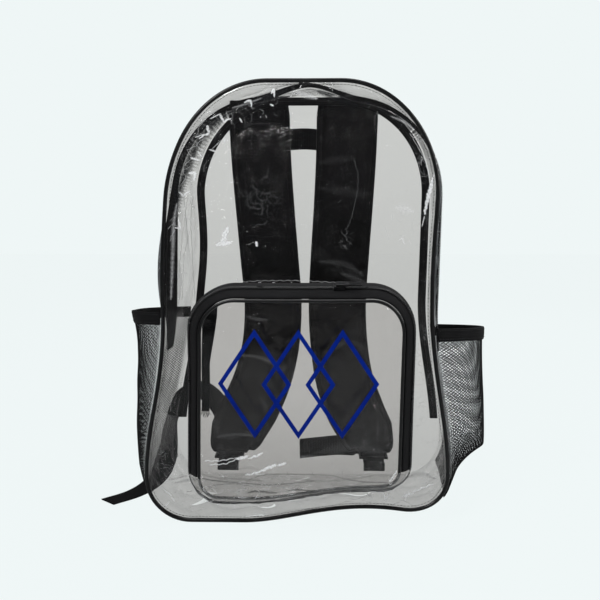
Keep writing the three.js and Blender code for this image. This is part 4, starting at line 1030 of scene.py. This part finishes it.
film("film_pocket_face", panel(pocket_rim, 2 * POCKET_PIPING_R - 1, pocket_face), "pocket_face", FILM_MAT,
     wave=1.4, fold=0.3, ridge=(70, 70, 70),
     shade=[(20, 0.24), (50, 0.2), (80, 0.1), (130, 0.02), (200, 0.0)])
foot_shares = np.linspace(0, 1 - 0.8 / POCKET["depth"], 15)
film("film_pocket_foot", pocket_wall("under", foot_shares, -FILM / 2), "pocket_foot_wall", FILM_SOFT,
     wave=0.8, fold=1.2, ridge=(26, 14, 26), shade=[(20, 0.3), (60, 0.2)])

# Materials of the marks: a pale one for painted highlights and a dark one for painted shade
PAINTED_HIGHLIGHT_MAT = mark_material("film_whitened_crease", (0.97, 0.98, 0.99))
PAINTED_SHADE_MAT = mark_material("film_fold_dark", (0.012, 0.013, 0.014))
# Scratch lines added to the painted highlights: partly scratch marks, partly painted glints on crinkles
SCRATCH_AND_GLINT_SPOTS = [  # middle, reach, count, strength, seed, length
    ((251, 196), (15, 16), 13, 0.14, 3, 14.0), ((270, 205), (8, 16), 6, 0.13, 8, 14.0),
    ((347, 236), (7, 9), 5, 0.08, 5, 8), ((404, 222), (12, 20), 6, 0.2, 21, 8),
    ((200, 142), (14, 22), 9, 0.3, 13, 10), ((250, 108), (24, 6), 8, 0.25, 34, 8),
    ((425, 150), (8, 24), 8, 0.3, 55, 12), ((180, 215), (6, 24), 6, 0.35, 89, 12),
]
for row in SCRATCH_AND_GLINT_SPOTS:
    PAINTED_HIGHLIGHTS_AND_CREASES["film_front"] += scratch_and_glint_lines(*row)
# Strips of painted highlights, laid on each film
for name, rows in PAINTED_HIGHLIGHTS_AND_CREASES.items():
    streaks(f"painted_highlights_on_{name}", name, rows, PAINTED_HIGHLIGHT_MAT, 0.3)
# Strips of painted shade, laid on each film
for name, rows in PAINTED_FOLD_SHADE.items():
    streaks(f"painted_shade_on_{name}", name, rows, PAINTED_SHADE_MAT, 0.15)

# ---- piping, zippers and binding ----
def inside(stations, inward, face):
    """A line that follows a seam at a distance inside it, on a face."""
    return settled(face(stations[0] - stations[2] * inward, stations[1] - stations[3] * inward))


cord_path = inside(front["loop"], PIPING_R, lambda x, z: np.stack([x, np.full_like(x, FRONT_Y), z], axis=-1))
cord_r = PIPING_R * (1 + 0.06 * field(cord_path, (40, 40, 40), 5.5))
made = tube("front_piping_cord", cord_path, cord_r, PIPING, 14)
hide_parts("front_piping")
for part, key, material, girth, slot in (("upper", "over", PIPING, 1.0, "trim"),
                                         ("foot", "under", FOLDED, 0.9, "film")):
    path = inside(pocket_rim[key], POCKET_PIPING_R, pocket_face)
    made = tube(f"pocket_piping_{part}", path, POCKET_PIPING_R * girth, material, closed=False)
    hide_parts("pocket_piping")

pocket_shares = np.linspace(0, 1 - (0.62 * POCKET_PIPING_R + GAP) / POCKET["depth"], 13)
zip_grid = lambda out: wall_band("over", TAPE_FROM, TAPE_TO, 18, out)
pocket_zip_grid = lambda out: pocket_wall("over", pocket_shares, out)
for name, grid, replaced in (("zipper_tape_cloth", zip_grid, "zipper_tape"),
                             ("pocket_tape_cloth", pocket_zip_grid, "pocket_zipper_tape")):
    made = sheet(name, grid(0.0), grid(-ZIP_THICK), TAPE)
    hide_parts(replaced)


def teeth(name, band_, centre, replaced):
    """Coil teeth in turn from both sides, along the middle of a band three points across."""
    middle, up = band_[:, 1], outward(band_, centre)[:, 1]
    spots, along, ups = paced(middle, up, TOOTH["pitch"])
    sides = unit(paced(middle, band_[:, 2] - band_[:, 0], TOOTH["pitch"])[2])
    sign = np.where(np.arange(len(spots)) % 2 == 0, 1.0, -1.0)[:, None]
    places = spots + sides * sign * COIL_WIDTH * 0.16 + unit(ups) * COIL_HEIGHT * 0.5
    made = capsules(name, places, sides, ups, COIL_WIDTH * 0.66, TOOTH["width"], COIL_HEIGHT, TEETH)
    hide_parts(replaced)


teeth("zipper_teeth", wall_band("over", ZIP_CENTRE - 1, ZIP_CENTRE + 1, 2), BAG_MIDDLE, "zipper_coil")
pocket_coil = pocket_wall("over", POCKET_COIL_AT + np.array([-1, 0, 1]) / POCKET_WALL)
teeth("pocket_zipper_teeth", pocket_coil, POCKET_MIDDLE, "pocket_zipper_coil")

# The binding runs up one side of the back seam, over the crown and down the other side
leg = rear["right"][:, rear["right"][1] > BINDING["end"] - 2]
crown = straight(np.linspace(leg[0, -1], -leg[0, -1], 30)[1:-1], np.full(28, leg[1, -1]))[[0, 1, 3, 2]]
arch = np.concatenate([leg, crown, (leg * np.array([[-1], [1], [-1], [1]]))[:, ::-1]], axis=1)


def binding_grid(y):
    inward = np.linspace(BINDING["inset"], BINDING["inset"] + BINDING["width"], 7)[None, :]
    x = arch[0][:, None] + BACK_SHIFT - arch[2][:, None] * inward
    z = arch[1][:, None] - arch[3][:, None] * inward
    return settled(np.stack([x, np.broadcast_to(y, x.shape), z], axis=-1))


binding_y = BACK_Y - FILM - GAP
roll = 0.5 * np.sin(np.linspace(0, math.pi, 7))[None, :]
rolled = binding_grid(binding_y - BINDING["thick"] - roll)
made = sheet("seam_binding_tape", rolled, binding_grid(binding_y), BINDING_MAT)
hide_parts("back_seam_binding")

# Stitches beside the piping, along both sides of the zipper, round the pocket and on the binding
path = inside(front["loop"], INSET + 1.5, front_face) + (0, -0.3, 0)
stitches("front_seam_stitches", path, np.broadcast_to(TOWARDS_FRONT, path.shape), closed=True)
for tag, y in (("front", TAPE_FROM + 1.6), ("back", TAPE_TO - 1.6)):
    row = wall_band("over", y - 0.5, y + 0.5, 2)
    stitches(f"zipper_stitches_{tag}", row[:, 1], outward(row)[:, 1])
row = pocket_wall("loop", [0.0, 0.06, 0.12])
stitches("pocket_seam_stitches", row[:, 1], outward(row, POCKET_MIDDLE)[:, 1], closed=True)
path = binding_grid(binding_y - BINDING["thick"] - 0.5)[:, 3]
stitches("binding_stitches", path, np.broadcast_to(TOWARDS_FRONT, path.shape))

# The pocket's loose tape end, with frayed threads at its foot
left_edge = POCKET["shift"] - POCKET["width"] / 2 + POCKET["taper"] + INNER_TAPE["inset"]
down = np.linspace(0, 1, 40)[:, None]
tape_width = np.interp(down, [0, 0.1, 0.25, 0.55, 1], [14.5, 14.0, 12.0, 8.0, 7.6])
tape_x = left_edge + tape_width * np.linspace(0, 1, 9)[None, :] + 1.6 * np.sin(down * 9) * (down * (1 - down))
tape_z = np.broadcast_to(lerp(INNER_TAPE["high"], INNER_TAPE["low"], down), tape_x.shape)


def tape_end(off):
    y = FRONT_Y - front_swell(tape_x, tape_z) - FILM / 2 - GAP - off
    return settled(np.stack([tape_x, y, tape_z], axis=-1))


made = sheet("pocket_tape_end", tape_end(INNER_TAPE["thick"]), tape_end(0.0), BINDING_MAT)
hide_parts("pocket_inner_tape")
threads = []
foot_edge = tape_end(INNER_TAPE["thick"] / 2)[-1]
for k in range(FRAY["count"]):
    start = lerp(foot_edge[0], foot_edge[-1], k / (FRAY["count"] - 1))
    swing, drop = 3.0 * math.sin(k * 2.4), 3.0 + 3.0 * abs(math.sin(k * 1.7))
    places = [start + (0, 0, 1), start + (swing * 0.3, -0.2, -drop * 0.5), start + (swing, -0.3, -drop)]
    threads.append(catmull(places, np.linspace(0, 1, FRAY["steps"])))
threads = np.array(threads)
starts, ends = threads[:, :-1].reshape(-1, 3), threads[:, 1:].reshape(-1, 3)
forwards = np.broadcast_to(TOWARDS_FRONT, starts.shape)
made = capsules("frayed_threads", (starts + ends) / 2, ends - starts, forwards, FRAY["pitch"], FRAY["thick"],
                FRAY["thick"], THREAD)

# ---- mesh pockets ----
def net(name, form, inset, hem_share):
    """A lozenge net: every second crossing of a grid is the middle of a hole."""
    nu, nv = NET["columns"], int((form["high"] - form["low"]) / NET["pitch"])
    nv += nv % 2
    top = 1 - hem_share * 0.6

    def at(i, j):
        deep = lerp(inset, 1 - inset, np.asarray(i, float) / nu)
        return side_pocket(form, deep, lerp(0.0, top, np.asarray(j, float) / nv), 0.5)

    ci, cj = np.meshgrid(np.arange(1, nu), np.arange(1, nv), indexing="ij")
    odd = (ci + cj) % 2 == 1
    ci, cj = ci[odd], cj[odd]
    corners = [(1, 0), (0, 1), (-1, 0), (0, -1)]
    crossings = at(*np.meshgrid(np.arange(nu + 1), np.arange(nv + 1), indexing="ij")).reshape(-1, 3)
    hole = np.stack([at(ci + a * NET["hole"], cj + b * NET["hole"]) for a, b in corners], axis=1)
    points = np.concatenate([crossings, hole.reshape(-1, 3)])
    points[:, 0] += form["side"] * NET["ripple"] * field(points, (26, 26, 26), 7.7)
    outer = np.stack([(ci + a) * (nv + 1) + cj + b for a, b in corners], axis=1)
    inner = len(crossings) + np.arange(4 * len(ci)).reshape(-1, 4)
    faces = np.stack([outer, np.roll(outer, -1, axis=1), np.roll(inner, -1, axis=1), inner], axis=-1)
    points, faces, _ = used_only(points, faces.reshape(-1, 4))
    made = mesh(f"net_{name}", points, faces, NET_THREAD)
    thick = made.modifiers.new("thread", "SOLIDIFY")
    thick.thickness = NET["thread"] * 0.001
    thick.offset = 0
    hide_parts(f"mesh_pocket_{name}")


def hem(name, form, inset, hem_share):
    """The net's elastic binding and its two rows of stitches."""
    deep = np.linspace(inset, 1 - inset, 61)
    rows = np.linspace(1 - hem_share, 1, 7)[:, None]
    swell = 0.5 * np.sin(np.linspace(0, math.pi, 7))[:, None]
    outer = side_pocket(form, deep[None, :], rows, HEM_THICK - 0.5 + swell)
    made = sheet(f"hem_{name}", outer, side_pocket(form, deep[None, :], rows, 0.0), BINDING_MAT)
    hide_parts(f"mesh_hem_{name}")
    for tag, share in (("low", 0.82), ("high", 0.18)):
        path = side_pocket(form, deep, np.full(61, 1 - hem_share * share), HEM_THICK - 0.1)
        away = np.broadcast_to((float(form["side"]), 0.0, 0.0), path.shape)
        stitches(f"hem_stitches_{name}_{tag}", path, away, 3.0)


for name, form in SIDE_POCKETS.items():
    for build in (net, hem):
        build(name, form, MESH_INSET / DEPTH, HEM_HEIGHT / (form["high"] - form["low"]))

# ---- straps ----
def swept(ribbon, a, b):
    """A closed section, with shares a across and b up, carried along a ribbon."""
    middle, across, up, wide, thick, _ = ribbon
    return (middle[:, None] + across[:, None] * (a[None, :] * wide[:, None])[..., None]
            + up[:, None] * (b[None, :] * thick[:, None])[..., None])


def pad_half(s):
    """Half the pad's thickness across its width: a crowned body, a stitched groove and a rolled binding."""
    a = np.abs(s)
    body = 0.5 * (1 - 0.1 * (a / 0.8) ** 2)
    body = np.where(a > 0.7, lerp(body, 0.3, smooth(a, 0.7, 0.82)), body)
    bead = 0.3 + 0.08 * np.sqrt(np.maximum(0, 1 - ((a - 0.92) / 0.08) ** 2))
    edge = bead * np.sqrt(np.maximum(0, 1 - (np.maximum(0, a - 0.93) / 0.0705) ** 2))
    return np.where(a > 0.84, edge, body)


PAD_ACROSS = np.concatenate([
    np.linspace(-1, -0.86, 6), np.linspace(-0.84, -0.78, 4), np.linspace(-0.72, 0.72, 17),
    np.linspace(0.78, 0.84, 4), np.linspace(0.86, 1, 6),
])
PAD_EDGE = 0.42  # past this share of its width the pad is bound


def pad(name, side):
    """A padded shoulder strap, puffed between its bound edges, with a row of stitches along each."""
    rows = [(pad_place(side, row), (1.0, 0, 0), row[4] * PAD["width"], row[5] * PAD["thick"])
            for row in PAD_ROWS]
    ribbon = ribbon_frame(rows, PAD_STEPS)
    middle, across, up, wide, thick, run = ribbon
    half = pad_half(PAD_ACROSS)
    a = np.concatenate([PAD_ACROSS, PAD_ACROSS[::-1][1:-1]]) / 2
    b = np.concatenate([half, -half[::-1][1:-1]])
    grid = swept(ribbon, a, b)
    puff = field(grid, (34, 60, 26), 2.2) * 0.7 + field(grid, (11, 20, 11), 8.2) * 0.25
    ends = np.sin(np.linspace(0, math.pi, PAD_STEPS + 1))[:, None]
    calm = np.clip(1 - np.abs(a[None, :]) / PAD_EDGE, 0, 1) * ends
    grid = grid + up[:, None] * (puff * calm * np.sign(b)[None, :])[..., None]
    uv = np.stack(np.broadcast_arrays(run[:, None], a[None, :] * wide[:, None]), axis=-1)
    made = mesh(f"pad_{name}", grid, capped(*grid.shape[:2]), [STRAP, BINDING_MAT], uv)
    bound = np.tile((np.abs(a + np.roll(a, -1)) / 2 > PAD_EDGE).astype(np.int32), PAD_STEPS)
    made.data.polygons.foreach_set("material_index", np.concatenate([bound, [1, 1]]).astype(np.int32))
    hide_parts(f"shoulder_strap_{name}")
    for face, sign in (("outer", 1), ("inner", -1)):
        for tag, share in (("a", -0.83), ("b", 0.83)):
            path = middle + across * (share / 2 * wide)[:, None] + up * (sign * (0.3 * thick + 0.15))[:, None]
            stitches(f"pad_stitches_{name}_{face}_{tag}", path[3:-3], up[3:-3] * sign, 4.0)


def webbing(name, rows, count, replaced):
    """Webbing: flat, with rounded edges and a raised middle."""
    ribbon = ribbon_frame(rows, count)
    middle, across, up, wide, _, run = ribbon
    s = np.linspace(-1, 1, 15)
    half = 0.5 * np.minimum(1, np.sqrt(np.maximum(0, 1 - s**2)) * 4 + 0.12)
    a, b = np.concatenate([s, s[::-1]]) / 2, np.concatenate([half, -half[::-1]])
    grid = swept(ribbon, a, b)
    uv = np.stack(np.broadcast_arrays(run[:, None], a[None, :] * wide[:, None]), axis=-1)
    made = mesh(name, grid, capped(*grid.shape[:2]), WEBBING, uv)
    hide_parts(replaced)
    return middle, across, up, run


def tack(name, middle, across, up):
    """A row of stitches across the webbing."""
    path = middle + across * TACK + up * (WEB_THICK / 2 + 0.1)
    stitches(name, path, np.broadcast_to(up, path.shape), 2.4)


def handle_rows():
    """The haul loop: sewn to both pads and bowed between them."""
    seats = {}
    for side in (-1, 1):
        curve = catmull([pad_place(side, row) for row in PAD_ROWS], np.linspace(0, 1, 4001))
        k = int(np.argmin(np.abs(curve[:, 2] - HANDLE["height"])))
        along = unit((curve[k + 1] - curve[k - 1]) * (0, 1, 1))
        out = np.cross(along, (-1, 0, 0))
        seats[side] = (curve[k] + out * ((PAD["thick"] + WEB_THICK) / 2 + GAP), along, out)
    rows = []
    for across, bow in HANDLE_ROWS:
        place, along, out = seats[-1 if across < 0 else 1]
        place = place + out * bow * HANDLE["bow"]
        place[0] = PAD["drift"] * PAD_ROWS[0, 2] + across * HANDLE["half"]
        rows.append((place, along, WEB_WIDTH, WEB_THICK))
    return rows


for name, side in (("left", -1), ("right", 1)):
    pad(name, side)
for name, side in (("left", -1), ("right", 1)):
    middle, across, up, run = webbing(f"web_{name}", webbing_rows(name, side), WEB_STEPS, f"webbing_{name}")
    for tag, shift in (("end", 4.0), ("fold", 12.0)):
        k = int(np.searchsorted(run, run[-1] - shift))
        tack(f"web_stitches_{name}_{tag}", middle[k], across[k], up[k])
middle, across, up, run = webbing("haul_loop_web", handle_rows(), HANDLE_STEPS, "haul_loop")
for tag, k in (("left", 8), ("left_in", 24), ("right_in", 116), ("right", 132)):
    tack(f"loop_stitches_{tag}_a", middle[k], across[k], up[k])
    tack(f"loop_stitches_{tag}_b", middle[k], across[k], -up[k])

# ---- CAD nodes that are shown as they are ----
SHOWN = {"zipper_slider": METAL, "pocket_zipper_slider": METAL, "ladder_lock_left": PLASTIC,
         "ladder_lock_right": PLASTIC, "emblem": INK}
for name, material in SHOWN.items():
    data = NODES[name].data
    data.materials.clear()
    data.materials.append(material)

# ---- stage, light and camera ----
PALE = (0.863, 0.922, 0.922, 1)
FLOOR_REACH, FLOOR_Z = 6.0, -0.0004  # metres
corners = [(x * FLOOR_REACH, y * FLOOR_REACH, FLOOR_Z) for x, y in ((-1, -1), (1, -1), (1, 1), (-1, 1))]
data = bpy.data.meshes.new("floor")
data.from_pydata(corners, [], [(0, 1, 2, 3)])
floor = bpy.data.objects.new("floor", data)
bpy.context.scene.collection.objects.link(floor)

# The camera sees the floor as pale as the backdrop, while the bag is lit by duller ones
make = Shading(bpy.data.materials.new("pale_floor"))
shaded = make.add("BsdfDiffuse", {"Color": (0.02, 0.021, 0.021, 1)})
bright = make.add("AddShader", {0: make.add("Emission", {"Color": PALE, "Strength": 0.985}), 1: shaded})
dull = make.add("BsdfDiffuse", {"Color": (0.4, 0.41, 0.41, 1)})
seen = make.add("LightPath", output="Is Camera Ray")
data.materials.append(make.finish(make.add("MixShader", {0: seen, 1: dull, 2: bright})))
floor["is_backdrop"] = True

world = bpy.data.worlds.new("studio")
bpy.context.scene.world = world
make = Shading(world)
around = make.add("Background", {"Color": (0.10, 0.105, 0.11, 1)})
seen = make.add("LightPath", output="Is Camera Ray")
backdrop = make.add("Background", {"Color": PALE})
make.finish(make.add("MixShader", {0: seen, 1: around, 2: backdrop}), "OutputWorld")


def area(name, place, high, size, power):
    """A soft lamp that points at the bag's middle at a height. Lengths are in metres."""
    lamp = bpy.data.lights.new(name, "AREA")
    lamp.shape = "RECTANGLE"
    lamp.size, lamp.size_y = size
    lamp.energy = power
    made = bpy.data.objects.new(name, lamp)
    made.location = place
    made.rotation_euler = (Vector((0, 0, high)) - Vector(place)).to_track_quat("-Z", "Y").to_euler()
    bpy.context.scene.collection.objects.link(made)


area("key", (-0.9, -1.3, 1.5), 0.22, (0.7, 0.7), 22)
area("side", (1.4, -0.6, 0.9), 0.22, (0.35, 1.0), 12)
area("top", (0.1, -0.2, 1.8), 0.2, (1.0, 0.6), 9)
area("rear", (1.0, 1.3, 1.2), 0.22, (0.9, 0.6), 7)

camera = bpy.data.objects.new("camera", bpy.data.cameras.new("camera"))
camera.data.sensor_width = 36
camera.data.lens = 36 * FOCAL / PICTURE
camera.location = EYE * 0.001
camera.rotation_euler = Vector(AIM - EYE).to_track_quat("-Z", "Y").to_euler()
bpy.context.scene.collection.objects.link(camera)
bpy.context.scene.camera = camera
bpy.context.scene.view_settings.view_transform = "Standard"

plain = lambda box: [[float(v) for v in corner] for corner in box]
{"cad": plain(cad_box), "visual": plain(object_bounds())}
